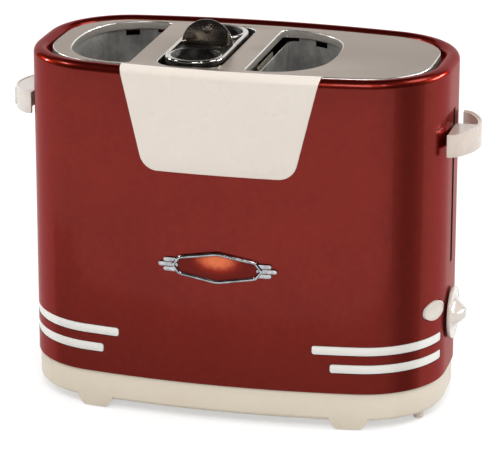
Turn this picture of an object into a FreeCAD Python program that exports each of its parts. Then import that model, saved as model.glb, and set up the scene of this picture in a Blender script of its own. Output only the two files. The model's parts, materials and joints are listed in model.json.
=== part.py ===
import FreeCAD, Part
import math
import os
import re

import Sketcher

# A hot dog toaster: a rolled steel shell on a moulded base, with two bun wells, a lift-out basket for two
# sausages, a spring-returned carriage worked by the lever at the right end, a timer knob, a stop button and a
# crumb tray that pulls out at the left end. Millimetres. The origin is on the floor under the shell's centre,
# +X points to the lever end, -Y to the front and +Z up.

SIZES = {
    # The shell and the oval that it, the base and the top plate share
    "half_length": 136, "half_width": 73, "side_radius": 590, "end_radius": 650, "corner_radius": 55,
    "shell_height": 205, "shell_wall": 1.4, "rim_width": 10, "rim_ledge": 3.6, "shell_flange": 8,
    # The base and its feet
    "foot_height": 6, "base_height": 19, "base_inset": 1, "base_wall": 2.4, "base_floor": 2.4, "base_edge": 3,
    "foot_offset": 84, "foot_length": 15, "foot_spread": 24, "foot_depth": 14, "pad_radius": 4.5,
    "pad_height": 2, "pad_proud": 0.6, "peg_offset": 123, "peg_side": 33, "peg_radius": 3.2, "peg_wall": 1,
    "post_offset": 66, "post_side": 55, "post_radius": 4, "screw_radius": 1.5, "screw_head": 3,
    "screw_head_height": 1.6, "screw_clearance": 0.15,
    # The brushed top plate and the group of openings in it
    "plate_inset": 12.3, "plate_drop": 1.3, "plate_sheet": 1, "skirt_height": 6, "lip_height": 5,
    "bay_centre": -25.5, "bun_straight": 37.5, "bun_extreme": 86, "bun_half_width": 52, "bun_end_radius": 120,
    "bun_corner": 38, "bun_nick": 3.5, "centre_half_width": 21, "centre_half_depth": 53,
    "centre_corner": 12,
    # The wells below it
    "well_gap": 0.3, "well_wall": 0.6, "guard_setback": 4, "guard_drop": 7.7, "window_length": 8.5,
    "window_height": 3.6, "window_drop": 6, "window_offset": 64, "crumb_margin": 3,
    # The chassis that the wells stand on and between
    "chassis_sheet": 1.2, "chassis_half_depth": 49, "chassis_gap": 0.3, "chassis_margin": 3,
    "chassis_neck": 30,
    # The heaters between the wells
    "board_offset": 31, "board_sheet": 1, "board_inner": 8, "board_outer": 49, "board_top": 214,
    "wire_height": 2.4, "wire_sheet": 0.4, "wire_pitch": 14, "wire_first": 46, "wire_count": 12,
    # The carriage and its guides
    "travel": 80, "lever_z": 182, "rod_offset": 84, "rod_side": 14, "rod_radius": 2, "rod_clearance": 0.05,
    "slider_half_width": 20, "lug_length": 12, "lug_height": 8, "web_sheet": 2, "arm_sheet": 3,
    "arm_height": 7, "lift_z": 137, "lift_sheet": 1.5, "bar_height": 9, "bar_setback": 12,
    "slot_clearance": 1.5,
    "slot_bottom": 96.5, "slot_top": 199, "arm_reach": 9, "lift_gap": 1.5,
    "lift_slot_length": 26, "lift_slot_width": 5, "lift_slot_pitch": 11, "spring_radius": 4,
    "spring_wire": 0.9, "spring_turns": 7, "spring_gap": 0.3,
    # The bow of the lever and of the side handle
    "bow_half_width": 30, "bow_reach": 16.5, "bow_corner": 9, "bow_gap": 1, "bow_wall": 2.8,
    "bow_height": 14.5, "bow_web": 2.5, "bow_web_drop": 8, "bow_edge": 0.6, "bow_boss": 4.5,
    "bow_boss_height": 11, "handle_z": 189.5, "handle_boss": 11, "handle_screw_side": 7,
    "handle_screw_length": 9, "handle_screw_seat": 0.09,
    # The sausage basket
    "basket_half_width": 19.2, "basket_rise": 1, "basket_edge": 1.2, "basket_skirt": 6, "deck_drop": 1.6,
    "deck_sheet": 0.8, "tube_offset": 30, "tube_radius": 15, "tube_wall": 0.6, "tube_lip": 2,
    "tab_y": 1, "tab_radius": 17, "tab_sheet": 0.8, "tab_foot": 5, "rivet_height": 10, "rivet_radius": 3.4,
    "rivet_proud": 0.7, "sausage_stop": 1, "bar_width": 4,
    # The timer, its knob and the stop button
    "knob_z": 62, "knob_radius": 17, "knob_gap": 1, "knob_skirt": 2.4, "knob_edge": 0.8,
    "grip_half_length": 15.4, "grip_reach": 7.4, "grip_root": 8.5, "grip_ridge": 1,
    "shaft_radius": 3, "shaft_hole_gap": 1,
    "timer_radius": 12, "timer_length": 13, "timer_setback": 9, "timer_bracket_half_width": 15,
    "timer_bracket_foot": 18, "shaft_depth": 6,
    "button_angle": 22.5, "button_z": 74, "button_half_length": 10.8, "button_half_height": 6.2,
    "button_end_radius": 4.4, "button_gap": 0.4, "button_proud": 1.4, "button_dish": 0.5,
    "button_rim": 1.4, "button_flange": 1.2, "button_flange_depth": 4.4, "button_stem": 2, "button_reach": 17,
    # The circuit board, the magnet and the mains connection
    "board_x": 104, "circuit_sheet": 1.6, "circuit_front": -46, "circuit_back": -13, "circuit_height": 66,
    "magnet_coil": 7.5, "magnet_core": 3.2, "magnet_gap": 0.3, "keeper_sheet": 1.6, "keeper_half": 6,
    "gland_x": 62, "gland_z": 15.4, "gland_radius": 4.8, "gland_bore": 3.4, "gland_flange": 6.3,
    "terminal_side": 30, "terminal_length": 26, "terminal_width": 14, "terminal_height": 12,
    # The crumb tray
    "tray_half_opening": 52, "tray_lintel": 1.4, "tray_clearance": 0.3, "tray_sheet": 0.8,
    "tray_height": 7, "tray_half_width": 50, "tray_nose": 20, "tray_shoulder": 113, "tray_end": 64,
    "tray_lift": 0.1, "tray_nose_gap": 2, "tray_guide": 1.2,
    # The cream front plate that laps over the rim
    "front_sheet": 1.2, "front_half_top": 64, "front_half_bottom": 48.4, "front_bottom": 165.3,
    "front_corner": 12,
    # The badge
    "badge_z": 104.5, "badge_half_length": 30, "badge_half_height": 10.7, "badge_shoulder": 25.3,
    "badge_shoulder_height": 6.2, "badge_frame": 1.7, "badge_sheet": 2.4, "badge_panel": 1.4,
    "badge_bevel": 0.7, "badge_bar_height": 2.7, "badge_bar_pitch": 3.1, "badge_bar_long": 38.5,
    "badge_bar_short": 35,
    # The bright trim strips
    "strip_height": 5.6, "strip_sheet": 0.6, "groove_depth": 0.8, "groove_margin": 0.35,
    "strip_low": 38.9, "strip_high": 50.9, "strip_low_left": 77.2, "strip_high_left": 66.4,
    "strip_low_right": 71.8, "strip_high_right": 60.4, "strip_end_side": 23, "strip_end_corner": 1.6,
}

# Places that follow from the sizes, as expressions
BASE_RIM = "(foot_height + base_height)"
RIM_TOP = f"({BASE_RIM} + shell_height)"
PLATE_TOP = f"({RIM_TOP} - plate_drop)"
PLATE_UNDER = f"({PLATE_TOP} - plate_sheet)"
FLOOR_UNDER = f"({BASE_RIM} + shell_wall)"
FLOOR_TOP = f"({FLOOR_UNDER} + chassis_sheet)"
TRAY_FLOOR = "(foot_height + base_floor)"
WELL_OUT = "(plate_sheet + well_gap + well_wall)"
WELL_IN = "(plate_sheet + well_gap)"
BAR_TOP = "(lift_z - lift_sheet)"
BAR_BOTTOM = f"({BAR_TOP} - bar_height)"
SLIDER_TOP = "(lever_z + arm_height / 2 + 3)"
RIGHT_WALL = f"(bay_centre + bun_extreme + {WELL_OUT} + chassis_gap)"
LEFT_WALL = f"(bay_centre - bun_extreme - {WELL_OUT} - chassis_gap)"
BAR_SLOT_TOP = f"({BAR_TOP} + slot_clearance)"
BAR_SLOT_HALF = "(arm_sheet / 2 + slot_clearance)"
FOOT_FACE = "(half_width - base_inset - side_radius + sqrt(side_radius^2 - foot_offset^2))"
TRAY_MOUTH = "(tray_shoulder - 1)"
MAGNET_TOP = f"({BAR_BOTTOM} - keeper_sheet - travel - magnet_gap)"
BASKET_TOP = f"({RIM_TOP} + basket_rise)"
DECK_TOP = f"({BASKET_TOP} - deck_drop)"
ARM_SPAN = ("lever_z - arm_height / 2", "lever_z + arm_height / 2")
POSTS = [(f"{end}post_offset", f"{side}post_side") for end in ("", "-") for side in ("", "-")]
STRIPS = {"lower": "strip_low", "upper": "strip_high"}

os.makedirs("parts", exist_ok=True)
doc = FreeCAD.newDocument("HotDogToaster")
sheet = doc.addObject("Spreadsheet::Sheet", "Sizes")
for row, (alias, size) in enumerate(SIZES.items(), 1):
    sheet.set(f"A{row}", alias)
    sheet.set(f"B{row}", str(size))
    sheet.setAlias(f"B{row}", alias)
doc.recompute()


def bound(text):
    """An expression on the sheet's aliases, as an object outside the sheet has to write it."""
    words = r"[a-z]+(?:_[a-z]+)*"
    keep = {"sqrt"}
    return re.sub(words, lambda word: ("" if word.group() in keep else "Sizes.") + word.group(), text)


def value(text):
    """The number that an expression has now."""
    result = sheet.evalExpression(bound(text))
    return float(getattr(result, "Value", result))


def point(across, up):
    return FreeCAD.Vector(value(across), value(up), 0)


class Drawing:
    """A sketch on one of a body's own planes, with every size bound to the sheet."""

    def __init__(self, body, plane, lift):
        self.sketch = body.newObject("Sketcher::SketchObject", "Sketch")
        origin_plane = next(f for f in body.Origin.OriginFeatures if f.Role == plane)
        self.sketch.AttachmentSupport = [(origin_plane, "")]
        self.sketch.MapMode = "FlatFace"
        lifted = FreeCAD.Vector(0, 0, value(lift))
        self.sketch.AttachmentOffset = FreeCAD.Placement(lifted, FreeCAD.Rotation())
        self.sketch.setExpression("AttachmentOffset.Base.z", bound(lift))

    def tie(self, kind, *where, to):
        constraint = self.sketch.addConstraint(Sketcher.Constraint(kind, *where, value(to)))
        self.sketch.setExpression(f"Constraints[{constraint}]", bound(to))

    def pin(self, edge, end, across, up):
        self.tie("DistanceX", -1, 1, edge, end, to=across)
        self.tie("DistanceY", -1, 1, edge, end, to=up)

    def arc(self, centre, radius, start, stop):
        circle = Part.Circle(centre, FreeCAD.Vector(0, 0, 1), radius)
        return self.sketch.addGeometry(Part.ArcOfCircle(circle, start, stop))

    def axis(self, across, up, across_end, up_end):
        line = Part.LineSegment(point(across, up), point(across_end, up_end))
        edge = self.sketch.addGeometry(line, True)
        self.pin(edge, 1, across, up)
        self.pin(edge, 2, across_end, up_end)


def path(*corners):
    """A closed outline of (across, up) corners. A third value is the radius of the arc that leads to the
    corner, positive where the arc turns left and negative where it turns right."""

    def draw(drawing):
        runs = []
        for last, corner in zip(corners[-1:] + corners[:-1], corners):
            start, stop = point(*last[:2]), point(*corner[:2])
            if len(corner) == 2:
                edge = drawing.sketch.addGeometry(Part.LineSegment(start, stop))
                runs.append((edge, 1, 2))
                continue
            radius = value(corner[2])
            chord = stop - start
            rise = math.sqrt(max(radius * radius - chord.Length * chord.Length / 4, 0))
            left = FreeCAD.Vector(-chord.y, chord.x, 0).normalize()
            centre = (start + stop) * 0.5 + left * (rise if radius > 0 else -rise)
            angles = [math.atan2(end.y - centre.y, end.x - centre.x) for end in (start, stop)]
            if radius < 0:
                angles.reverse()
            if angles[1] < angles[0]:
                angles[1] += 2 * math.pi
            edge = drawing.arc(centre, abs(radius), *angles)
            size = corner[2] if radius > 0 else f"-({corner[2]})"
            drawing.tie("Radius", edge, to=size)
            runs.append((edge, 1, 2) if radius > 0 else (edge, 2, 1))
        for (edge, _, end), (following, start, _), corner in zip(runs, runs[1:] + runs[:1], corners):
            drawing.pin(edge, end, corner[0], corner[1])
            drawing.sketch.addConstraint(Sketcher.Constraint("Coincident", edge, end, following, start))

    return draw


def box(left, right, low, high):
    return path((left, low), (right, low), (right, high), (left, high))


def soft_box(left, right, low, high, corner):
    """A box whose corners are rounded."""
    return path(
        (f"{left} + {corner}", low, corner), (f"{right} - ({corner})", low),
        (right, f"{low} + {corner}", corner), (right, f"{high} - ({corner})"),
        (f"{right} - ({corner})", high, corner), (f"{left} + {corner}", high),
        (left, f"{high} - ({corner})", corner), (left, f"{low} + {corner}"),
    )


def disc(across, up, radius):
    def draw(drawing):
        circle = Part.Circle(point(across, up), FreeCAD.Vector(0, 0, 1), value(radius))
        edge = drawing.sketch.addGeometry(circle)
        drawing.pin(edge, 3, across, up)
        drawing.tie("Radius", edge, to=radius)

    return draw


def oval(inset):
    """The body's plan outline moved inwards: bowed sides and ends joined by corner arcs, all tangent."""

    def draw(drawing):
        side_y = value("half_width - side_radius")
        end_x = value("half_length - end_radius")
        side_r, end_r, corner_r = (value(name) for name in ("side_radius", "end_radius", "corner_radius"))
        corner_x, corner_y = oval_corner()
        end_turn = math.atan2(corner_y, corner_x - end_x)
        side_turn = math.atan2(corner_y - side_y, corner_x)
        half = math.pi
        trim = value(inset)
        arcs = [
            (end_x, 0, end_r, -end_turn, end_turn),
            (corner_x, corner_y, corner_r, end_turn, side_turn),
            (0, side_y, side_r, side_turn, half - side_turn),
            (-corner_x, corner_y, corner_r, half - side_turn, half - end_turn),
            (-end_x, 0, end_r, half - end_turn, half + end_turn),
            (-corner_x, -corner_y, corner_r, half + end_turn, half + side_turn),
            (0, -side_y, side_r, half + side_turn, 2 * half - side_turn),
            (corner_x, -corner_y, corner_r, 2 * half - side_turn, 2 * half - end_turn),
        ]
        edges = [drawing.arc(FreeCAD.Vector(x, y, 0), r - trim, start, stop) for x, y, r, start, stop in arcs]
        centres = [
            ("half_length - end_radius", "0"), ("0", "half_width - side_radius"),
            ("end_radius - half_length", "0"), ("0", "side_radius - half_width"),
        ]
        for edge, centre, radius in zip(edges[::2], centres, ("end_radius", "side_radius") * 2):
            drawing.pin(edge, 3, *centre)
            drawing.tie("Radius", edge, to=f"{radius} - ({inset})")
        for edge in edges[1::2]:
            drawing.tie("Radius", edge, to=f"corner_radius - ({inset})")
        for edge, following in zip(edges, edges[1:] + edges[:1]):
            drawing.sketch.addConstraint(Sketcher.Constraint("Tangent", edge, 2, following, 1))

    return draw


def oval_corner():
    """Centre of the corner arc in the +X +Y quarter, tangent inside the side arc and the end arc."""
    side_y = value("half_width - side_radius")
    end_x = value("half_length - end_radius")
    side_reach, end_reach = value("side_radius - corner_radius"), value("end_radius - corner_radius")
    apart = math.hypot(end_x, side_y)
    along = (side_reach**2 - end_reach**2 + apart**2) / (2 * apart)
    aside = math.sqrt(side_reach**2 - along**2)
    unit_x, unit_y = end_x / apart, -side_y / apart
    corners = [
        (unit_x * along - turn * unit_y * aside, side_y + unit_y * along + turn * unit_x * aside)
        for turn in (1, -1)
    ]
    return max(corners, key=sum)


def dee(side, inset, setback="0"):
    """A bun opening's outline moved inwards: a straight edge towards the centre and a curved end. The setback
    moves the straight edge alone."""
    run = "(bun_end_radius - bun_corner)"
    rise = "(bun_half_width - bun_corner)"
    along = f"sqrt({run}^2 - {rise}^2)"
    share = f"((bun_end_radius - ({inset})) / {run})"
    high = f"(bun_half_width - ({inset}))"
    straight = f"(bun_straight + ({inset}) + ({setback}))"
    nick = f"(bun_nick - ({inset}))"
    turn = f"(bun_extreme - bun_end_radius + {along})"
    tip = f"(bun_extreme - bun_end_radius + {along} * {share})"
    flip = "" if side > 0 else "-"
    corners = [
        (f"{straight} + {nick}", f"-{high}", nick), (turn, f"-{high}"),
        (tip, f"-{rise} * {share}", f"(bun_corner - ({inset}))"),
        (tip, f"{rise} * {share}", f"(bun_end_radius - ({inset}))"),
        (turn, high, f"(bun_corner - ({inset}))"), (f"{straight} + {nick}", high),
        (straight, f"{high} - {nick}", nick), (straight, f"{nick} - {high}"),
    ]
    return path(*[
        (f"bay_centre + {side} * ({corner[0]})", corner[1], *(f"{flip}{radius}" for radius in corner[2:]))
        for corner in corners
    ])


def flat_oval(across, up, half_length, half_height, end_radius):
    """Four tangent arcs that make a flattened ellipse."""
    long = f"({half_length})"
    high = f"({half_height})"
    small = f"({end_radius})"
    big = f"(({long}^2 + {high}^2 - 2 * {long} * {small}) / (2 * ({high} - {small})))"
    share = f"({small} / ({big} - {small}))"
    reach = f"({long} - {small} + ({long} - {small}) * {share})"
    rise = f"(({big} - {high}) * {share})"
    return path(
        (f"{across} + {reach}", f"{up} + {rise}", small), (f"{across} - {reach}", f"{up} + {rise}", big),
        (f"{across} - {reach}", f"{up} - {rise}", small), (f"{across} + {reach}", f"{up} - {rise}", big),
    )


class Piece:
    """A PartDesign body that is built up by pads, cuts, turned features and rounded edges."""

    def __init__(self, name):
        self.body = doc.addObject("PartDesign::Body", name)
        self.body.Label = name
        self.body.AllowCompound = True
        self.name = name
        self.size = 0

    def draw(self, plane, lift, outlines):
        drawing = Drawing(self.body, plane, lift)
        for outline in outlines:
            outline(drawing)
        return drawing.sketch

    def spread(self, kind, plane, low, high, outlines):
        """Pads or pockets the outlines from low to high along the world axis that the plane faces."""
        if plane == "XZ_Plane":
            low, high = f"-({high})", f"-({low})"
        sketch = self.draw(plane, low, outlines)
        feature = self.body.newObject(f"PartDesign::{kind}", kind)
        feature.Profile = sketch
        feature.Reversed = kind == "Pocket"
        feature.Type = 0
        feature.setExpression("Length", bound(f"{high} - ({low})"))
        before = self.size
        self.settle()
        assert sketch.FullyConstrained, f"{self.name}: {sketch.Name} is open to move"
        changed = (self.size - before) * (1 if kind == "Pad" else -1)
        assert changed > 0, f"{self.name}: a {kind} changed nothing"
        return self

    def settle(self):
        doc.recompute()
        self.size = self.body.Shape.Volume

    def add(self, plane, low, high, *outlines):
        return self.spread("Pad", plane, low, high, outlines)

    def cut(self, plane, low, high, *outlines):
        return self.spread("Pocket", plane, low, high, outlines)

    def turn(self, kind, plane, axis, *outlines, angle="360"):
        """A Revolution or Groove of the outlines about a line (across, up, across, up) of the plane."""
        drawing = Drawing(self.body, plane, "0")
        for outline in outlines:
            outline(drawing)
        drawing.axis(*axis)
        feature = self.body.newObject(f"PartDesign::{kind}", kind)
        feature.Profile = drawing.sketch
        feature.ReferenceAxis = (drawing.sketch, ["Axis0"])
        feature.Midplane = True
        feature.Angle = value(angle)
        self.settle()
        return self

    def sweep(self, outline, spine_lift, spine):
        """Carries an outline on the XZ plane along a closed spine that lies flat at a height."""
        along = self.draw("XY_Plane", spine_lift, [spine])
        profile = self.draw("XZ_Plane", "0", [outline])
        doc.recompute()
        pipe = self.body.newObject("PartDesign::AdditivePipe", "Pipe")
        pipe.Profile = profile
        pipe.Spine = (along, [])
        self.settle()
        return self

    def round(self, radius, choose, kind="Fillet"):
        """Rounds the edges that the test picks, or chamfers them."""
        doc.recompute()
        base = self.body.Tip
        names = [f"Edge{number}" for number, edge in enumerate(base.Shape.Edges, 1) if choose(edge)]
        assert names, f"{self.name}: no edge to round"
        feature = self.body.newObject(f"PartDesign::{kind}", kind)
        feature.Base = (base, names)
        feature.setExpression("Radius" if kind == "Fillet" else "Size", bound(radius))
        self.settle()
        return self


def flat_at(height, within="-half_length * 2"):
    """Picks the edges that lie level at a height, beyond a place along the length."""
    level, start = value(height), value(within)

    def choose(edge):
        box_of = edge.BoundBox
        return box_of.XMin > start and all(abs(z - level) < 1e-4 for z in (box_of.ZMin, box_of.ZMax))

    return choose


def join(kind, name, base, *tools):
    """A Part boolean of whole pieces, one after the other. The result takes the name."""
    result = base
    for tool in tools:
        step = doc.addObject(f"Part::{kind}", f"{name}_{kind.lower()}")
        step.Base, step.Tool = result, tool
        result = step
    doc.recompute()
    result.Label = name
    return result


def strip_band(name, level, outer, inner, margin, keep):
    """A length of bright strip, or of the groove it lies in. It follows the shell from its end beside the
    front round the left end, or from the front to the lever end."""
    piece = Piece(name)
    span = (f"{level} - {margin}", f"{level} + strip_height + {margin}")
    piece.add("XY_Plane", *span, oval(outer), oval(inner))
    low, high = f"{level} - {margin} - 1", f"{level} + strip_height + {margin} + 1"
    far = "half_length + 2"
    wide = "(half_width + 2)"
    inside = f"({level}_{'left' if keep == 'left' else 'right'} - {margin})"
    if keep == "left":
        return piece.cut("XY_Plane", low, high, box(f"-{inside}", far, f"-{wide}", wide))
    stop = f"(strip_end_side - {margin})"
    piece.cut("XY_Plane", low, high, box(f"-({far})", inside, f"-{wide}", wide))
    if keep == "front":
        return piece.cut("XY_Plane", low, high, box("0", far, f"-{stop}", wide))
    if keep == "rear":
        return piece.cut("XY_Plane", low, high, box("0", far, f"-{wide}", stop))
    return piece.cut("XY_Plane", low, high, box("0", far, f"-{stop}", stop))


def trim_strips():
    """Six bright strips: two wrap the left end, two run round each corner of the right end."""
    made = []
    for row, level in STRIPS.items():
        for keep in ("left", "front", "rear"):
            side = "left" if keep == "left" else f"right_{keep}"
            outer, inner = "groove_depth - strip_sheet", "groove_depth"
            strip = strip_band(f"trim_strip_{side}_{row}", level, outer, inner, "0", keep)
            made.append(strip.round("strip_end_corner", short_end_edges).body)
    return made


def short_end_edges(edge):
    """Picks the four edges through a strip's thickness at the corners of its ends."""
    return edge.Length < value("strip_sheet") * 2 and edge.BoundBox.ZLength < 1e-6


def outer_shell():
    """The shell is one section carried round the oval: a foot flange, the wall and the rolled rim, whose
    inner flange ends in the ledge that the top plate stands on."""
    piece = Piece("shell_blank")
    roll = "rim_width / 2"
    inner = "rim_width / 2 - shell_wall"
    edge = "half_length"
    rim = f"{edge} - rim_width"
    spring = f"{RIM_TOP} - {roll}"
    ledge = f"{PLATE_TOP} - skirt_height"
    section = path(
        (edge, BASE_RIM), (edge, spring), (f"{edge} - {roll}", RIM_TOP, roll), (rim, spring, roll),
        (rim, ledge), (f"{rim} - rim_ledge", ledge), (f"{rim} - rim_ledge", f"{ledge} - shell_wall"),
        (f"{rim} + shell_wall", f"{ledge} - shell_wall"), (f"{rim} + shell_wall", spring),
        (f"{edge} - {roll}", f"{RIM_TOP} - shell_wall", f"-({inner})"),
        (f"{edge} - shell_wall", spring, f"-({inner})"), (f"{edge} - shell_wall", f"{BASE_RIM} + shell_wall"),
        (f"{edge} - shell_flange", f"{BASE_RIM} + shell_wall"), (f"{edge} - shell_flange", BASE_RIM),
    )
    piece.sweep(section, "0", oval("0"))
    right_end = ("half_length - 20", "half_length + 5")
    slot = box(f"-{BAR_SLOT_HALF}", BAR_SLOT_HALF, "slot_bottom", "slot_top")
    piece.cut("YZ_Plane", *right_end, slot, disc("0", "knob_z", "shaft_radius + shaft_hole_gap"))
    screw_hole = "screw_radius + screw_clearance"
    screw_holes = [disc(f"{sign}handle_screw_side", "handle_z", screw_hole) for sign in ("", "-")]
    piece.cut("YZ_Plane", "-half_length - 5", "20 - half_length", *screw_holes)
    tools = [button_blank("button_opening", "button_gap", "6", "8")]
    for row, level in STRIPS.items():
        for keep in ("left", "both"):
            groove = strip_band(f"groove_{keep}_{row}", level, "-1", "groove_depth", "groove_margin", keep)
            tools.append(groove.body)
    return join("Cut", "outer_shell", piece.body, *tools)


def base():
    """The moulded base: a shallow oval tub with four tapered feet, screw posts, an opening for the crumb
    tray at the left end and two pegs under the right end."""
    piece = Piece("base")
    piece.add("XY_Plane", "foot_height", BASE_RIM, oval("base_inset"))
    piece.round("base_edge", flat_at("foot_height"))
    piece.cut("XY_Plane", TRAY_FLOOR, BASE_RIM, oval("base_inset + base_wall"))
    for side in ("", "-"):
        for end in ("", "-"):
            across = f"{end}foot_offset"
            foot = path(
                (f"{across} - foot_length / 2", "pad_proud"), (f"{across} + foot_length / 2", "pad_proud"),
                (f"{across} + foot_spread / 2", "foot_height"),
                (f"{across} + foot_spread / 2", "foot_height + base_edge"),
                (f"{across} - foot_spread / 2", "foot_height + base_edge"),
                (f"{across} - foot_spread / 2", "foot_height"),
            )
            reach = f"({FOOT_FACE} + 3)"
            inner = f"({FOOT_FACE} - foot_depth)"
            span = (inner, reach) if side == "" else (f"-{reach}", f"-{inner}")
            piece.add("XZ_Plane", *span, foot)
    ring = box("-half_length - 9", "half_length + 9", "-half_width - 9", "half_width + 9")
    piece.cut("XY_Plane", "pad_proud - 1", "foot_height + base_edge", ring, oval("base_inset"))
    piece.cut("XY_Plane", TRAY_FLOOR, "foot_height + base_edge + 1", oval("base_inset + base_wall"))
    piece.add("XY_Plane", f"{TRAY_FLOOR} - 1", FLOOR_UNDER, *[disc(x, y, "post_radius") for x, y in POSTS])
    pegs = [disc("peg_offset", f"{side}peg_side", "peg_radius") for side in ("", "-")]
    piece.add("XY_Plane", "pad_proud", f"{TRAY_FLOOR} - 1", *pegs)
    piece.round("peg_wall", flat_at("pad_proud", within="peg_offset - 5"))
    piece.cut("XY_Plane", "pad_proud", "pad_height", *foot_discs("pad_radius"))
    holes = [disc(x, y, "screw_radius + screw_clearance") for x, y in POSTS]
    piece.cut("XY_Plane", "foot_height - 1", f"{FLOOR_UNDER} + 1", *holes)
    heads = [disc(x, y, "screw_head + screw_clearance") for x, y in POSTS]
    piece.cut("XY_Plane", "foot_height - 1", "foot_height + screw_head_height + screw_clearance", *heads)
    half = "tray_half_opening"
    mouth = box("-half_length - 1", f"-{TRAY_MOUTH}", f"-{half}", half)
    piece.cut("XY_Plane", "foot_height - 1", f"{BASE_RIM} - tray_lintel", mouth)
    piece.cut("XZ_Plane", "half_width - 12", "half_width + 1", disc("gland_x", "gland_z", "gland_radius"))
    near = "(tray_half_width + tray_clearance)"
    far = f"({near} + tray_guide)"
    guides = [box(f"-{TRAY_MOUTH} + 1", "tray_end", *wall) for wall in ((near, far), (f"-{far}", f"-{near}"))]
    piece.add("XY_Plane", f"{TRAY_FLOOR} - 1", f"{TRAY_FLOOR} + tray_height / 2", *guides)
    return piece.body


def foot_discs(radius):
    middle = f"({FOOT_FACE} - foot_depth / 2)"
    return [disc(f"{end}foot_offset", f"{side}{middle}", radius) for end in ("", "-") for side in ("", "-")]


def foot_pads():
    """Four rubber discs, one in a recess under each foot."""
    return Piece("foot_pads").add("XY_Plane", "0", "pad_height", *foot_discs("pad_radius")).body


def base_screws():
    """Four pan-head screws that hold the base to the chassis floor, up through the posts."""
    piece = Piece("base_screws")
    seat = "foot_height + screw_head_height"
    piece.add("XY_Plane", "foot_height", seat, *[disc(x, y, "screw_head") for x, y in POSTS])
    return piece.add("XY_Plane", seat, FLOOR_TOP, *[disc(x, y, "screw_radius") for x, y in POSTS]).body


def openings(inset):
    """The three openings of the top plate: a bun slot each side and the basket's opening between them."""
    return [dee(-1, inset), dee(1, inset), middle_opening(inset)]


def middle_opening(inset):
    """The basket's opening moved inwards."""
    half = f"(centre_half_width - ({inset}))"
    deep = f"(centre_half_depth - ({inset}))"
    corner = f"(centre_corner - ({inset}))"
    return soft_box(f"bay_centre - {half}", f"bay_centre + {half}", f"-{deep}", deep, corner)


def top_plate():
    """The brushed plate is pressed from sheet: a skirt round its edge and a turned-down lip round each
    opening."""
    piece = Piece("top_plate")
    skirt = f"{PLATE_TOP} - skirt_height"
    piece.add("XY_Plane", PLATE_UNDER, PLATE_TOP, oval("plate_inset"))
    piece.add("XY_Plane", skirt, PLATE_UNDER, oval("plate_inset"), oval("plate_inset + plate_sheet"))
    piece.add("XY_Plane", f"{PLATE_TOP} - lip_height", PLATE_UNDER, *openings("-plate_sheet"))
    piece.cut("XY_Plane", f"{skirt} - 1", f"{PLATE_TOP} + 1", *openings("0"))
    piece.round("plate_sheet * 0.8", flat_at(PLATE_TOP))
    return piece.body


def bun_well(name, side):
    """A sheet-metal well under a bun slot. Its straight wall stands back from the slot's edge and ends lower,
    and both walls are slotted for the lift's bar."""
    piece = Piece(name)
    outset = f"-{WELL_OUT}"
    piece.add("XY_Plane", FLOOR_TOP, PLATE_UNDER, dee(side, outset, f"guard_setback + {WELL_IN}"))
    setback = f"guard_setback + {WELL_IN}"
    piece.cut("XY_Plane", f"{FLOOR_TOP} - 1", f"{PLATE_UNDER} + 1", dee(side, f"-{WELL_IN}", setback))
    near, far = "bun_straight - 2", "bun_straight + guard_setback + bun_nick + 3"
    guard = [f"bay_centre + {side} * ({near})", f"bay_centre + {side} * ({far})"]
    wide = "(bun_half_width + 5)"
    above = box(*guard[::side], f"-{wide}", wide)
    piece.cut("XY_Plane", f"{PLATE_TOP} - guard_drop", f"{PLATE_UNDER} + 1", above)
    slot_end = guard[1] if side < 0 else f"{RIGHT_WALL} + 1"
    slot = box(*[guard[0], slot_end][::side], f"-{BAR_SLOT_HALF}", BAR_SLOT_HALF)
    piece.cut("XY_Plane", f"{FLOOR_TOP} - 1", BAR_SLOT_TOP, slot)
    middle = f"bay_centre + {side} * window_offset"
    window = box(f"{middle} - window_length / 2", f"{middle} + window_length / 2", f"-{wide}", wide)
    high = f"{PLATE_TOP} - window_drop"
    return piece.cut("XY_Plane", f"{high} - window_height", high, window).body


def sausage_well():
    """The narrow well that the basket goes down in, slotted for the lift's bar."""
    piece = Piece("sausage_well")
    walls = (middle_opening(f"-{WELL_OUT}"), middle_opening(f"-{WELL_IN}"))
    piece.add("XY_Plane", FLOOR_TOP, PLATE_UNDER, *walls)
    wide = "(centre_half_width + 5)"
    slot = box(f"bay_centre - {wide}", f"bay_centre + {wide}", f"-{BAR_SLOT_HALF}", BAR_SLOT_HALF)
    return piece.cut("XY_Plane", f"{FLOOR_TOP} - 1", BAR_SLOT_TOP, slot).body


def chassis_floor():
    """A sheet on the base's posts and the shell's foot flange, open under each well for the crumbs."""
    piece = Piece("chassis_floor")
    piece.add("XY_Plane", FLOOR_UNDER, FLOOR_TOP, oval("chassis_margin"))
    wells = [dee(side, "crumb_margin / 2", "guard_setback + crumb_margin / 2") for side in (-1, 1)]
    piece.cut("XY_Plane", f"{BASE_RIM} - 1", f"{FLOOR_TOP} + 1", middle_opening("crumb_margin"), *wells)
    holes = [disc(x, y, "screw_radius + screw_clearance") for x, y in POSTS]
    piece.cut("XY_Plane", f"{BASE_RIM} - 1", f"{FLOOR_TOP} + 1", *holes)
    return piece.body


def chassis_wall(name, near, far, slotted):
    """A sheet end wall from the chassis floor to the top plate."""
    piece = Piece(name)
    deep = "chassis_half_depth"
    piece.add("XY_Plane", FLOOR_TOP, "board_top", box(near, far, f"-{deep}", deep))
    piece.add("XY_Plane", "board_top", PLATE_UNDER, box(near, far, "-chassis_neck", "chassis_neck"))
    if slotted:
        slot = box(f"{near} - 1", f"{far} + 1", f"-{BAR_SLOT_HALF}", BAR_SLOT_HALF)
        piece.cut("XY_Plane", f"{FLOOR_TOP} - 1", BAR_SLOT_TOP, slot)
    return piece.body


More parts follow.
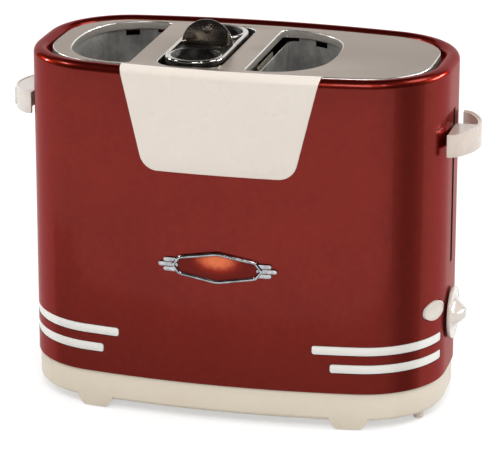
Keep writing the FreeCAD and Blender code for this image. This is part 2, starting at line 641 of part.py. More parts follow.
def heater_boards(name, side):
    """Two mica boards on edge beside the basket's well, one in front of the lift's bar and one behind it."""
    piece = Piece(name)
    middle = f"bay_centre + {side} * board_offset"
    boards = [
        box(f"{middle} - board_sheet / 2", f"{middle} + board_sheet / 2", low, high)
        for low, high in (("board_inner", "board_outer"), ("-board_outer", "-board_inner"))
    ]
    return piece.add("XY_Plane", FLOOR_TOP, "board_top", *boards).body


def heating_ribbons(name, side):
    """Flat ribbon wound round each mica board, one turn at each step up the board."""
    piece = Piece(name)
    middle = f"bay_centre + {side} * board_offset"
    for turn in range(int(value("wire_count"))):
        low = f"wire_first + {turn} * wire_pitch"
        rings = []
        for near, far in (("board_inner", "board_outer"), ("-board_outer", "-board_inner")):
            for out in ("wire_sheet", "0"):
                half = f"(board_sheet / 2 + {out})"
                sides = (f"{middle} - {half}", f"{middle} + {half}")
                rings.append(box(*sides, f"{near} - {out}", f"{far} + {out}"))
        piece.add("XY_Plane", low, f"{low} + wire_height", *rings)
    return piece.body


def guide_rods():
    """Two steel rods that the carriage slides on, from the chassis floor to the top plate."""
    rods = [disc("rod_offset", f"{side}rod_side", "rod_radius") for side in ("", "-")]
    return Piece("guide_rods").add("XY_Plane", FLOOR_TOP, PLATE_UNDER, *rods).body


def return_spring():
    """A coil spring on the rear rod that pushes the carriage up."""
    radius, wire = value("spring_radius"), value("spring_wire")
    low = value(f"{FLOOR_TOP} + spring_gap") + wire
    high = value(f"{BAR_BOTTOM} - spring_gap") - wire
    helix = Part.makeHelix((high - low) / value("spring_turns"), high - low, radius)
    section = Part.Wire(Part.Circle(FreeCAD.Vector(radius, 0, 0), FreeCAD.Vector(0, 1, 0), wire).toShape())
    coil = Part.Wire(helix).makePipeShell([section], True, True)
    spring = doc.addObject("Part::Feature", "return_spring")
    spring.Shape = coil
    spring.Placement.Base = FreeCAD.Vector(value("rod_offset"), value("rod_side"), low)
    return spring


def carriage_slider():
    """The plate that rides on the rods: an upper and a lower lug with bores, joined by a web."""
    piece = Piece("carriage_slider")
    deep = "slider_half_width"
    left, right = "rod_offset - lug_length / 2", "rod_offset + lug_length / 2"
    piece.add("XY_Plane", BAR_BOTTOM, SLIDER_TOP, box(f"{left} - web_sheet", left, f"-{deep}", deep))
    for low, high in ((BAR_BOTTOM, f"{BAR_BOTTOM} + lug_height"), (f"{SLIDER_TOP} - lug_height", SLIDER_TOP)):
        piece.add("XY_Plane", low, high, box(f"{left} - web_sheet", right, f"-{deep}", deep))
    bores = [disc("rod_offset", f"{side}rod_side", "rod_radius + rod_clearance") for side in ("", "-")]
    return piece.cut("XY_Plane", f"{BAR_BOTTOM} - 1", f"{SLIDER_TOP} + 1", *bores).body


def lever_arm():
    """The steel blade from the carriage out through the slot in the shell, into the lever."""
    half = "arm_sheet / 2"
    blade = box("rod_offset + lug_length / 2", "half_length + arm_reach", f"-{half}", half)
    return Piece("lever_arm").add("XY_Plane", *ARM_SPAN, blade).body


def lift_bar():
    """The bar that runs left from the carriage through all three wells and carries the lifts."""
    half = "arm_sheet / 2"
    stop = "bay_centre - bun_extreme + bar_setback"
    bar = box(stop, "rod_offset - lug_length / 2 - web_sheet", f"-{half}", half)
    return Piece("lift_bar").add("XY_Plane", BAR_BOTTOM, BAR_TOP, bar).body


def bun_lift(name, side):
    """The slotted platform that a bun stands on."""
    piece = Piece(name)
    plan = dee(side, "lift_gap - plate_sheet", "guard_setback + plate_sheet")
    piece.add("XY_Plane", BAR_TOP, "lift_z", plan)
    middle = f"bay_centre + {side} * (bun_straight + bun_extreme + guard_setback) / 2"
    ends = (f"{middle} - lift_slot_length / 2", f"{middle} + lift_slot_length / 2")
    for row in (-3, -2, -1, 1, 2, 3):
        level = f"{row} * lift_slot_pitch"
        sides = (f"{level} - lift_slot_width / 2", f"{level} + lift_slot_width / 2")
        slot = soft_box(*ends, *sides, "lift_slot_width * 0.4")
        piece.cut("XY_Plane", f"{BAR_TOP} - 1", "lift_z + 1", slot)
    return piece.body


def basket_rest():
    """The narrow platform under the basket."""
    piece = Piece("basket_rest")
    piece.add("XY_Plane", BAR_TOP, "lift_z", middle_opening("lift_gap"))
    holes = [disc("bay_centre", f"{side}tube_offset", "tube_radius / 2") for side in ("", "-")]
    return piece.cut("XY_Plane", f"{BAR_TOP} - 1", "lift_z + 1", *holes).body


def keeper():
    """The steel plate under the carriage that the magnet holds while the toaster is on."""
    plate = box("rod_offset - keeper_half", "rod_offset + keeper_half", "-keeper_half", "keeper_half")
    return Piece("keeper").add("XY_Plane", f"{BAR_BOTTOM} - keeper_sheet", BAR_BOTTOM, plate).body


def magnet_parts():
    """The electromagnet under the keeper: a wound coil round a square core."""
    square = box("rod_offset - magnet_core", "rod_offset + magnet_core", "-magnet_core", "magnet_core")
    core = Piece("magnet_core").add("XY_Plane", FLOOR_TOP, MAGNET_TOP, square)
    coil = Piece("magnet_coil")
    winding = disc("rod_offset", "0", "magnet_coil")
    coil.add("XY_Plane", f"{FLOOR_TOP} + 1", f"{MAGNET_TOP} - 1", winding, square)
    return [core.body, coil.body]


def bow(side, inset):
    """The plan of a bowed strap moved inwards: a chord beside the shell, a corner arc at each end of it and a
    wide arc between them."""
    near = "(half_length + bow_gap)"
    half, reach, corner = (f"({size} - {inset})" for size in ("bow_half_width", "bow_reach", "bow_corner"))
    wide = f"(({reach}^2 + ({half} - {corner})^2 - {corner}^2) / (2 * ({reach} - {corner})))"
    share = f"({corner} / ({wide} - {corner}))"
    shoulder = f"{side} * ({near} + ({wide} - {reach}) * {share})"
    level = f"(({half} - {corner}) * (1 + {share}))"
    turn = "" if side > 0 else "-"
    return path(
        (f"{side} * {near}", f"-{half}"), (shoulder, f"-{level}", f"{turn}{corner}"),
        (shoulder, level, f"{turn}{wide}"), (f"{side} * {near}", half, f"{turn}{corner}"),
    )


def bow_handle(name, side, middle, boss_reach):
    """A strap that bows out from the end of the shell, with a web across its inside that a finger rests on,
    and a boss at its centre."""
    piece = Piece(name)
    low, high = f"({middle} - bow_height / 2)", f"({middle} + bow_height / 2)"
    web_top = f"({high} - bow_web_drop)"
    piece.add("XY_Plane", low, high, bow(side, "0"))
    piece.round("bow_edge", flat_at(high))
    piece.cut("XY_Plane", web_top, f"{high} + 1", bow(side, "bow_wall"))
    piece.cut("XY_Plane", f"{low} - 1", f"{web_top} - bow_web", bow(side, "bow_wall"))
    ends = [f"{side} * (half_length + {boss_reach})", f"{side} * (half_length + bow_gap + bow_reach - 1)"]
    wide = "bow_boss" if side > 0 else "handle_boss"
    span = (f"{middle} - bow_boss_height / 2", f"{middle} + bow_boss_height / 2")
    piece.add("XY_Plane", *span, box(*ends[::side], f"-{wide}", wide))
    return piece


def lever():
    """The lever: the bow with a socket in its boss for the steel blade."""
    piece = bow_handle("lever", 1, "lever_z", "bow_gap")
    half = "(arm_sheet / 2)"
    blade = box("half_length", "half_length + arm_reach", f"-{half}", half)
    return piece.cut("XY_Plane", *ARM_SPAN, blade).body


def side_handle():
    """The fixed handle at the left end, held by two screws from inside the shell."""
    piece = bow_handle("side_handle", -1, "handle_z", "0")
    holes = [disc(f"{sign}handle_screw_side", "handle_z", "screw_radius") for sign in ("", "-")]
    end = "-half_length - handle_screw_length + shell_wall"
    return piece.cut("YZ_Plane", end, "-half_length + 2", *holes).body


def handle_screws():
    """Two screws through the shell into the side handle."""
    piece = Piece("handle_screws")
    inside = "shell_wall - half_length"
    ends = [f"{sign}handle_screw_side" for sign in ("", "-")]
    seat = f"{inside} + handle_screw_seat"
    shanks = [disc(y, "handle_z", "screw_radius") for y in ends]
    heads = [disc(y, "handle_z", "screw_head") for y in ends]
    piece.add("YZ_Plane", f"{inside} - handle_screw_length", seat, *shanks)
    piece.add("YZ_Plane", seat, f"{seat} + screw_head_height", *heads)
    return piece.body


def basket_outline(inset):
    """Straight sides and a round end about each tube."""
    half = f"(basket_half_width - ({inset}))"
    return path(
        (f"bay_centre + {half}", "-tube_offset", half), (f"bay_centre + {half}", "tube_offset"),
        ("bay_centre", f"tube_offset + {half}", half), (f"bay_centre - {half}", "tube_offset", half),
        (f"bay_centre - {half}", "-tube_offset"), ("bay_centre", f"-tube_offset - {half}", half),
    )


def basket_frame():
    """The basket's bright top: a sunk deck inside a raised edge, with a ring round each tube's mouth."""
    piece = Piece("basket_frame")
    hole = "tube_radius + tube_wall"
    piece.add("XY_Plane", f"{BASKET_TOP} - basket_skirt", BASKET_TOP, basket_outline("0"))
    piece.round("basket_edge * 0.9", flat_at(BASKET_TOP))
    inside = basket_outline("basket_edge")
    piece.cut("XY_Plane", f"{BASKET_TOP} - basket_skirt", f"{DECK_TOP} - deck_sheet", inside)
    piece.cut("XY_Plane", DECK_TOP, BASKET_TOP, basket_outline("basket_edge"))
    rings = [disc("bay_centre", f"{side}tube_offset", f"{hole} + tube_lip") for side in ("", "-")]
    piece.add("XY_Plane", f"{DECK_TOP} - deck_sheet", f"{BASKET_TOP} - basket_edge / 4", *rings)
    holes = [disc("bay_centre", f"{side}tube_offset", hole) for side in ("", "-")]
    under = f"{BASKET_TOP} - basket_skirt - 1"
    return piece.cut("XY_Plane", under, f"{BASKET_TOP} + 1", *holes).body


def basket_tube(name, side):
    """A round tube for one sausage, open at the top, with a bar across the bottom."""
    piece = Piece(name)
    middle = f"{side}tube_offset"
    wall = "tube_radius + tube_wall"
    top = f"{BASKET_TOP} - basket_edge / 4"
    rings = [disc("bay_centre", middle, radius) for radius in (wall, "tube_radius")]
    piece.add("XY_Plane", "lift_z", top, *rings)
    reach = f"({wall} - 0.1)"
    sides = (f"{middle} - bar_width / 2", f"{middle} + bar_width / 2")
    bar = box(f"bay_centre - {reach}", f"bay_centre + {reach}", *sides)
    return piece.add("XY_Plane", "lift_z", "lift_z + sausage_stop", bar).body


def basket_tab():
    """The half-round tab that lifts the basket out, folded up from a foot on the deck."""
    piece = Piece("basket_tab")
    piece.add("XZ_Plane", "tab_y - tab_sheet", "tab_y", disc("bay_centre", DECK_TOP, "tab_radius"))
    reach = "(tab_radius + 1)"
    below = box(f"bay_centre - {reach}", f"bay_centre + {reach}", f"{DECK_TOP} - {reach}", DECK_TOP)
    piece.cut("XZ_Plane", "tab_y - tab_sheet - 1", "tab_y + 1", below)
    half = "(tab_radius * 0.8)"
    foot = box(f"bay_centre - {half}", f"bay_centre + {half}", "tab_y - tab_sheet - tab_foot", "tab_y")
    piece.add("XY_Plane", DECK_TOP, f"{DECK_TOP} + tab_sheet", foot)
    hole = disc("bay_centre", f"{RIM_TOP} + rivet_height", "rivet_radius / 2")
    return piece.cut("XZ_Plane", "tab_y - tab_sheet - 1", "tab_y + tab_sheet", hole).body


def tab_rivet():
    """The rivet through the tab, a head each side."""
    piece = Piece("tab_rivet")
    up = f"{RIM_TOP} + rivet_height"
    front, back = "tab_y - tab_sheet", "tab_y"
    head = disc("bay_centre", up, "rivet_radius")
    piece.add("XZ_Plane", front, back, disc("bay_centre", up, "rivet_radius / 2"))
    piece.add("XZ_Plane", f"{front} - rivet_proud", front, head)
    return piece.add("XZ_Plane", back, f"{back} + rivet_proud", head).body


def timer_knob():
    """The timer knob: a thin skirt and a bowed grip whose faces slope to a ridge."""
    piece = Piece("timer_knob")
    back = "(half_length + knob_gap)"
    face = f"({back} + knob_skirt)"
    tip = f"({face} + grip_reach)"
    rim = "knob_z + knob_radius"
    profile = path(
        (back, "knob_z"), (face, "knob_z"), (face, f"{rim} - knob_edge"),
        (f"{face} - knob_edge", rim, "knob_edge"), (back, rim),
    )
    piece.turn("Revolution", "XZ_Plane", ("0", "knob_z", "10", "knob_z"), profile)
    half, reach = "grip_half_length", "(grip_reach + 1)"
    radius = f"(({half}^2 + {reach}^2) / (2 * {reach}))"
    grip = path((f"{face} - 1", f"-{half}"), (f"{face} - 1", half, radius))
    piece.add("XY_Plane", "knob_z - grip_root", "knob_z + grip_root", grip)
    for sign in ("", "-"):
        ridge, root = f"knob_z + {sign}grip_ridge", f"knob_z + {sign}grip_root"
        wedge = [(f"{tip} + 1", ridge), (face, root), (f"{tip} + 1", f"{root} {sign or '+'} 1")]
        piece.cut("XZ_Plane", f"-{half}", half, path(*(wedge if sign else wedge[::-1])))
    return piece.cut("YZ_Plane", back, f"{face} + 3", disc("0", "knob_z", "shaft_radius")).body


def timer_parts():
    """The timer behind the right end: its body on an upright bracket, and the shaft that the knob turns."""
    face = "(half_length - timer_setback)"
    back = f"({face} - chassis_sheet)"
    inner_end = f"{back} - shaft_depth"
    body = Piece("timer_body")
    body.add("YZ_Plane", f"{back} - timer_length", back, disc("0", "knob_z", "timer_radius"))
    body.cut("YZ_Plane", inner_end, face, disc("0", "knob_z", "shaft_radius + rod_clearance"))
    bracket = Piece("timer_bracket")
    wide = "timer_bracket_half_width"
    bracket.add("YZ_Plane", back, face, box(f"-{wide}", wide, FLOOR_TOP, "knob_z + timer_radius + 2"))
    foot = box(f"{face} - timer_bracket_foot", back, f"-{wide}", wide)
    bracket.add("XY_Plane", FLOOR_TOP, f"{FLOOR_TOP} + chassis_sheet", foot)
    hole = disc("0", "knob_z", "shaft_radius + shaft_hole_gap / 2")
    bracket.cut("YZ_Plane", f"{back} - 1", f"{face} + 1", hole)
    shaft = Piece("timer_shaft")
    outer_end = "half_length + knob_gap + knob_skirt + 3"
    shaft.add("YZ_Plane", inner_end, outer_end, disc("0", "knob_z", "shaft_radius"))
    return [body.body, bracket.body, shaft.body]


def button_place():
    """Where the button sits on the shell's corner, with its own X outwards."""
    corner_x, corner_y = oval_corner()
    turn = math.radians(value("button_angle"))
    reach = value("corner_radius")
    across, along = corner_x + reach * math.cos(turn), -corner_y - reach * math.sin(turn)
    at = FreeCAD.Vector(across, along, value("button_z"))
    return FreeCAD.Placement(at, FreeCAD.Rotation(FreeCAD.Vector(0, 0, 1), -value("button_angle")))


def button_blank(name, gap, front, back):
    """A plain oval plug square to the shell at the button's place."""
    piece = Piece(name)
    piece.add("YZ_Plane", f"-{back}", front, button_oval(gap))
    piece.body.Placement = button_place()
    return piece.body


def button_oval(trim):
    sizes = [f"{size} + {trim}" for size in ("button_half_length", "button_half_height", "button_end_radius")]
    return flat_oval("0", "0", *sizes)


def stop_button():
    """The stop button follows the shell's curve, with a dished face. A flange behind the shell keeps it in,
    and its stem reaches the switch."""
    piece = Piece("button_plug")
    flange = "-button_flange_depth - 1.2"
    piece.add("YZ_Plane", "-button_flange_depth", "button_proud", button_oval("0"))
    piece.add("YZ_Plane", flange, "-button_flange_depth", button_oval("button_flange"))
    piece.add("YZ_Plane", "-button_reach", flange, disc("0", "0", "button_stem"))
    dish = Piece("button_dish").add("YZ_Plane", "-3", "3", button_oval("-button_rim"))
    for blank in (piece, dish):
        blank.body.Placement = button_place()
    span = ("button_z - 20", "button_z + 20")
    limit = Piece("button_limit").add("XY_Plane", *span, oval("-button_proud"))
    floor = Piece("button_floor").add("XY_Plane", *span, oval("button_dish - button_proud"))
    hollow = join("Cut", "button_hollow", dish.body, floor.body)
    plug = join("Common", "button_body", piece.body, limit.body)
    return join("Cut", "stop_button", plug, hollow)


def circuit_parts():
    """The circuit board stands on the chassis floor beside the carriage, and carries the stop switch, a relay
    and two capacitors."""
    right = "board_x + circuit_sheet"
    board = Piece("circuit_board")
    sheet_plan = box("board_x", right, "circuit_front", "circuit_back")
    board.add("XY_Plane", FLOOR_TOP, f"{FLOOR_TOP} + circuit_height", sheet_plan)
    parts = Piece("circuit_components")
    parts.add("YZ_Plane", right, f"{right} + 6", box("circuit_front + 3", "circuit_front + 18", "32", "52"))
    cans = [disc("circuit_back - 7", level, "4") for level in ("38", "49")]
    parts.add("YZ_Plane", right, f"{right} + 9", *cans)
    switch = Piece("stop_switch")
    switch.add("YZ_Plane", right, "board_x + 8.5", box("-30", "-17", "button_z - 5", "button_z + 5"))
    return [board.body, parts.body, switch.body]


def gland():
    """The grommet in the back of the base that the mains lead comes in through."""
    piece = Piece("cord_gland")
    face = "(half_width - base_inset)"
    piece.add("XZ_Plane", f"{face} - 6", f"{face} - 1.6", disc("gland_x", "gland_z", "gland_flange"))
    piece.cut("XY_Plane", "0", f"{BASE_RIM}", oval("base_inset"))
    piece.add("XZ_Plane", f"{face} - 8.5", f"{face} - 1.6", disc("gland_x", "gland_z", "gland_radius"))
    return piece.cut("XZ_Plane", f"{face} - 12", face, disc("gland_x", "gland_z", "gland_bore")).body


def terminal_block():
    """The mains terminal block on the chassis floor, behind the carriage."""
    left = "(gland_x + 12)"
    block = box(left, f"{left} + terminal_length", "terminal_side", "terminal_side + terminal_width")
    return Piece("terminal_block").add("XY_Plane", FLOOR_TOP, f"{FLOOR_TOP} + terminal_height", block).body


def crumb_tray():
    """The sheet pan that slides on the base's floor under the wells, with a narrowed nose at the pull end."""
    piece = Piece("crumb_tray")
    low = f"{TRAY_FLOOR} + tray_lift"

    def pan(inset):
        nose_x = f"(half_length - base_inset - base_wall - tray_nose_gap - {inset})"
        wide = f"(tray_half_width - {inset})"
        return path(
            (f"tray_end - {inset}", f"-{wide}"), (f"tray_end - {inset}", wide), ("-tray_shoulder", wide),
            (f"-{nose_x}", "tray_nose"), (f"-{nose_x}", "-tray_nose"), ("-tray_shoulder", f"-{wide}"),
        )

    piece.add("XY_Plane", low, f"{low} + tray_height", pan("0"))
    return piece.cut("XY_Plane", f"{low} + tray_sheet", f"{low} + tray_height + 1", pan("tray_sheet")).body


def crumb_tray_front():
    """The moulded end of the crumb tray closes the opening in the base and carries its outline on. A block
    inside it holds the pan's nose."""
    piece = Piece("crumb_tray_front")
    top = f"{BASE_RIM} - tray_lintel - tray_clearance"
    half = "(tray_half_opening - tray_clearance)"
    under, over = "foot_height - 1", f"{top} + 1"
    piece.add("XY_Plane", "foot_height", top, oval("base_inset"))
    piece.round("base_edge", flat_at("foot_height"))
    piece.cut("XY_Plane", TRAY_FLOOR, over, oval("base_inset + base_wall"))
    wide = "(half_width + 1)"
    beyond = box(f"-{TRAY_MOUTH} - tray_clearance", "half_length + 1", f"-{wide}", wide)
    piece.cut("XY_Plane", under, over, beyond)
    piece.cut("XY_Plane", under, over, box("-half_length - 1", "0", half, wide))
    piece.cut("XY_Plane", under, over, box("-half_length - 1", "0", f"-{wide}", f"-{half}"))
    nose = "(half_length - base_inset - base_wall - tray_nose_gap)"
    block = box(f"-{nose} - tray_nose_gap - 0.5", f"-{nose}", "2 - tray_nose", "tray_nose - 2")
    return piece.add("XY_Plane", f"{TRAY_FLOOR} - 1", f"{TRAY_FLOOR} + tray_height", block).body


def front_plate():
    """The cream plate lies on the front of the shell and laps over the rolled rim. Its section is turned
    about the centre of the side's arc and trimmed to a tapered outline with round lower corners."""
    piece = Piece("front_band")
    face = "(-half_width)"
    out = f"({face} - front_sheet)"
    roll = "(rim_width / 2)"
    outer = f"({roll} + front_sheet)"
    spring = f"({RIM_TOP} - {roll})"
    lap = f"({face} + rim_width + front_sheet)"
    section = path(
        (face, "front_bottom - 5"), (face, spring), (f"{face} + {roll}", RIM_TOP, f"-{roll}"),
        (f"{face} + rim_width", spring, f"-{roll}"), (lap, spring),
        (f"{face} + {roll}", f"{RIM_TOP} + front_sheet", outer), (out, spring, outer),
        (out, "front_bottom - 5"),
    )
    centre = "(side_radius - half_width)"
    piece.turn("Revolution", "YZ_Plane", (centre, "0", centre, "10"), section, angle="20")
    trim = Piece("front_trim")
    slope = f"((front_half_top - front_half_bottom) / ({RIM_TOP} - front_bottom))"
    top = f"({RIM_TOP} + front_sheet + 1)"
    wide = f"(front_half_bottom + {slope} * ({top} - front_bottom))"
    bottom = [(f"{sign}front_half_bottom", "front_bottom") for sign in ("-", "")]
    trim.add("XZ_Plane", "-half_width - 20", "0", path(*bottom, (wide, top), (f"-{wide}", top)))
    trim.round("front_corner", low_corners)
    return join("Common", "front_plate", piece.body, trim.body)


def low_corners(edge):
    """Picks the edges through the front plate's sheet at its bottom corners."""
    return abs(edge.BoundBox.ZMin - value("front_bottom")) < 1e-4 and edge.BoundBox.XLength < 1e-4


def badge_outline(trim):
    """A long eight-cornered outline moved inwards: a peak at the middle of the top and of the bottom, a
    point at each end and four shoulders."""
    shoulder = f"(badge_shoulder - ({trim}) * 0.5)"
    rise = f"(badge_shoulder_height - ({trim}) * 0.9)"
    return path(*[(across, f"badge_z + {up}") for across, up in (
        (f"badge_half_length - ({trim}) * 1.2", "0"), (shoulder, rise),
        ("0", f"(badge_half_height - ({trim}))"),
        (f"-{shoulder}", rise), (f"({trim}) * 1.2 - badge_half_length", "0"), (f"-{shoulder}", f"-{rise}"),
        ("0", f"-(badge_half_height - ({trim}))"), (shoulder, f"-{rise}"),
    )])


def badge_frame():
    """The badge's bright frame: a long eight-cornered ring with three bars each side, the middle one
    longest."""
    piece = Piece("badge_frame")
    face, behind = "-half_width", "2 - half_width"
    for row, reach in ((-1, "badge_bar_short"), (0, "badge_bar_long"), (1, "badge_bar_short")):
        level = f"badge_z + {row} * badge_bar_pitch"
        ends = (f"{level} - badge_bar_height / 2", f"{level} + badge_bar_height / 2")
        bar = soft_box(f"-{reach}", reach, *ends, "(badge_bar_height / 2.5)")
        piece.add("XZ_Plane", f"{face} - badge_sheet * 0.6", behind, bar)
    piece.add("XZ_Plane", f"{face} - badge_sheet", behind, badge_outline("0"))
    front = value(f"{face} - badge_sheet")
    piece.round("badge_bevel", lambda edge: edge.BoundBox.YMax < front + 1e-4, "Chamfer")
    piece.cut("XZ_Plane", f"{face} - badge_sheet - 1", f"{behind} + 1", badge_outline("badge_frame"))
    return piece.cut("XY_Plane", "badge_z - 20", "badge_z + 20", oval("0")).body


def badge_panel():
    """The plain enamel panel inside the frame."""
    piece = Piece("badge_panel")
    piece.add("XZ_Plane", "-half_width - badge_panel", "2 - half_width", badge_outline("badge_frame"))
    return piece.cut("XY_Plane", "badge_z - 20", "badge_z + 20", oval("0")).body


def build():
    made = [outer_shell(), base(), foot_pads(), base_screws(), top_plate(), sausage_well(), chassis_floor()]
    for label, side in (("left", -1), ("right", 1)):
        made += [bun_well(f"bun_well_{label}", side), bun_lift(f"bun_lift_{label}", side)]
        made.append(heater_boards(f"heater_boards_{label}", side))
        made.append(heating_ribbons(f"heating_ribbons_{label}", side))
    made.append(chassis_wall("chassis_wall_right", RIGHT_WALL, f"{RIGHT_WALL} + chassis_sheet", True))
    made.append(chassis_wall("chassis_wall_left", f"{LEFT_WALL} - chassis_sheet", LEFT_WALL, False))
    made += [guide_rods(), return_spring(), carriage_slider(), lever_arm(), lift_bar()]
    made += [basket_rest(), keeper()]
    made += magnet_parts() + [lever(), side_handle(), handle_screws()]
    made += [basket_frame(), basket_tube("basket_tube_front", "-"), basket_tube("basket_tube_rear", "")]
    made += [basket_tab(), tab_rivet(), timer_knob()] + timer_parts() + [stop_button()] + circuit_parts()
    made += [gland(), terminal_block(), crumb_tray(), crumb_tray_front(), front_plate()]
    return made + [badge_frame(), badge_panel()] + trim_strips()


nodes = build()
doc.recompute()
for thing in doc.Objects:
    assert not {"Invalid", "Error"} & set(thing.State), f"{thing.Name} failed: {thing.State}"
for node in nodes:
    assert not node.Shape.isNull() and node.Shape.isValid(), f"{node.Label} has no valid shape"
for node in nodes:
    node.Shape.exportStep(f"parts/{node.Label}.step")
    print(f"{node.Label}: {len(node.Shape.Solids)} solids, {node.Shape.Volume / 1000:.2f} cm3")
print(f"{len(nodes)} nodes")
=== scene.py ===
import bpy
import bmesh
import json
import math
from mathutils import Matrix, Vector

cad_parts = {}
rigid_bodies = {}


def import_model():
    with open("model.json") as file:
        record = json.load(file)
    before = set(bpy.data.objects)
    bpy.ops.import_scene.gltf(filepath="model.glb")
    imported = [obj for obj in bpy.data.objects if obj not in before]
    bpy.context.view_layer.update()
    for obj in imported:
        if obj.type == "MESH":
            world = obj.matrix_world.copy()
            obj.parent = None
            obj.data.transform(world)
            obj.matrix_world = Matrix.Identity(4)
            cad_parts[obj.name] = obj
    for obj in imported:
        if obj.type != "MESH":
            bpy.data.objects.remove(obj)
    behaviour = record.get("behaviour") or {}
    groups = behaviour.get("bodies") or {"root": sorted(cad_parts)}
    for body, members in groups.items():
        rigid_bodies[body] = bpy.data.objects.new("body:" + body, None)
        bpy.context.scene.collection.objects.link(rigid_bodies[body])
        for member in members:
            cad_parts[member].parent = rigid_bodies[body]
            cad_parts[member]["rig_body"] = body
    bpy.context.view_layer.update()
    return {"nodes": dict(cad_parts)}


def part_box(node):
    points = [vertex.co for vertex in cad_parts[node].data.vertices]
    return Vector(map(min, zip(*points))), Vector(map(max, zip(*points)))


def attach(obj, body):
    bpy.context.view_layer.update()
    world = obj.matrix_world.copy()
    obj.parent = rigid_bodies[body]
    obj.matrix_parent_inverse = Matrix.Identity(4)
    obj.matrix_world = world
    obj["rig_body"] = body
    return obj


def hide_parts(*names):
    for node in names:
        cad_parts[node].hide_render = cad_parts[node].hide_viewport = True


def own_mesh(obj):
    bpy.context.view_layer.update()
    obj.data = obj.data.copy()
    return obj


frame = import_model()
scene = bpy.context.scene
print("frame loaded:", len(frame["nodes"]), "nodes")

spare = 0.001        # how far a cutter reaches past what it cuts
weld = 2e-6          # points nearer to each other than this are one
fineGrain = 0.00001  # the depth of a fine bump


def linkPiece(name, mesh):
    piece = bpy.data.objects.new(name, mesh)
    scene.collection.objects.link(piece)
    return piece


def meshFrom(name, points, faces=(), edges=()):
    mesh = bpy.data.meshes.new(name)
    mesh.from_pydata([tuple(point) for point in points], list(edges), list(faces))
    mesh.validate()
    return mesh


def loopMesh(name, points, closed=True):
    # a run of edges through the points
    count = len(points)
    edges = [(step, (step + 1) % count) for step in range(count if closed else count - 1)]
    return meshFrom(name, points, (), edges)


def quadRows(rows, count, start=0, closed=True):
    # quads between neighbouring rows of points, with count points in each row
    quads = []
    for here in range(start, start + (rows - 1) * count, count):
        for step in range(count if closed else count - 1):
            beside = (step + 1) % count
            quads.append((here + step, here + count + step, here + count + beside, here + beside))
    return quads


def baked(piece):
    # the evaluated mesh takes the place of the modifiers
    bpy.context.view_layer.update()
    graph = bpy.context.evaluated_depsgraph_get()
    mesh = bpy.data.meshes.new_from_object(piece.evaluated_get(graph), depsgraph=graph)
    piece.modifiers.clear()
    piece.data = mesh
    return piece


def tidyMesh(mesh):
    work = bmesh.new()
    work.from_mesh(mesh)
    bmesh.ops.remove_doubles(work, verts=work.verts, dist=weld)
    bmesh.ops.recalc_face_normals(work, faces=work.faces)
    work.to_mesh(mesh)
    work.free()
    return mesh


def smoothed(piece, angle=32):
    piece.data.shade_smooth()
    piece.data.set_sharp_from_angle(angle=math.radians(angle))
    return piece


def coated(piece, *coats):
    piece.data.materials.clear()
    for coat in coats:
        piece.data.materials.append(coat)
    return piece


def cut(piece, cutter, operation="DIFFERENCE"):
    tool = piece.modifiers.new("cut", "BOOLEAN")
    tool.operation = operation
    tool.solver = "EXACT"
    tool.material_mode = "TRANSFER"
    tool.object = cutter
    baked(piece)
    bpy.data.objects.remove(cutter)
    return piece


def rounded(piece, width, segments=2, angle=35):
    bevel = piece.modifiers.new("edge", "BEVEL")
    bevel.width = width
    bevel.segments = segments
    bevel.limit_method = "ANGLE"
    bevel.angle_limit = math.radians(angle)
    bevel.miter_outer = "MITER_ARC"
    return baked(piece)


def seated(piece, *nodes):
    # the piece rides with the nodes that it stands for
    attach(piece, frame["nodes"][nodes[0]]["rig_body"])
    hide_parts(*nodes)
    return piece


def solidPiece(name, points, faces, coat):
    return coated(linkPiece(name, tidyMesh(meshFrom(name, points, faces))), coat)


def boxCutter(name, low, high, coat):
    points = [(x, y, z) for x in (low[0], high[0]) for y in (low[1], high[1]) for z in (low[2], high[2])]
    faces = [(0, 1, 3, 2), (4, 6, 7, 5), (0, 4, 5, 1), (2, 3, 7, 6), (0, 2, 6, 4), (1, 5, 7, 3)]
    return solidPiece(name, points, faces, coat)


def prism(name, outline, low, high, place, coat):
    # an outline in (across, up), pushed from low to high along the first axis of the place
    count = len(outline)
    points = [place @ Vector((depth, across, up)) for depth in (low, high) for across, up in outline]
    faces = [tuple(range(count)), tuple(range(2 * count - 1, count - 1, -1))]
    faces += quadRows(2, count)
    return solidPiece(name, points, faces, coat)


def joined(piece, *others):
    # the other pieces' meshes go into the first
    work = bmesh.new()
    work.from_mesh(piece.data)
    for other in others:
        work.from_mesh(other.data)
        bpy.data.objects.remove(other)
    work.to_mesh(piece.data)
    work.free()
    return piece


def arcPoints(centre, radius, start, stop, steps):
    turns = [start + (stop - start) * step / steps for step in range(steps + 1)]
    return [(centre[0] + radius * math.cos(turn), centre[1] + radius * math.sin(turn)) for turn in turns]


def ringPoints(centre, radius, steps):
    return arcPoints(centre, radius, 0, 2 * math.pi, steps)[:-1]


alongX = Matrix.Identity(4)                       # a prism's depth runs along +X, its outline is (y, z)
alongY = Matrix.Rotation(math.pi / 2, 4, "Z")     # depth along +Y, outline (-x, z)
alongZ = Matrix(((0, 1, 0, 0), (0, 0, 1, 0), (1, 0, 0, 0), (0, 0, 0, 1)))  # depth along +Z, outline (x, y)


def feed(tree, slot, item):
    # a wire is linked and a value is set
    if isinstance(item, Wire):
        tree.links.new(item.socket, slot)
    else:
        slot.default_value = (*item, 1) if slot.type == "RGBA" else item


def socketNamed(sockets, label):
    # the one in use, where several share a name
    return next(slot for slot in sockets if slot.enabled and slot.name == label)


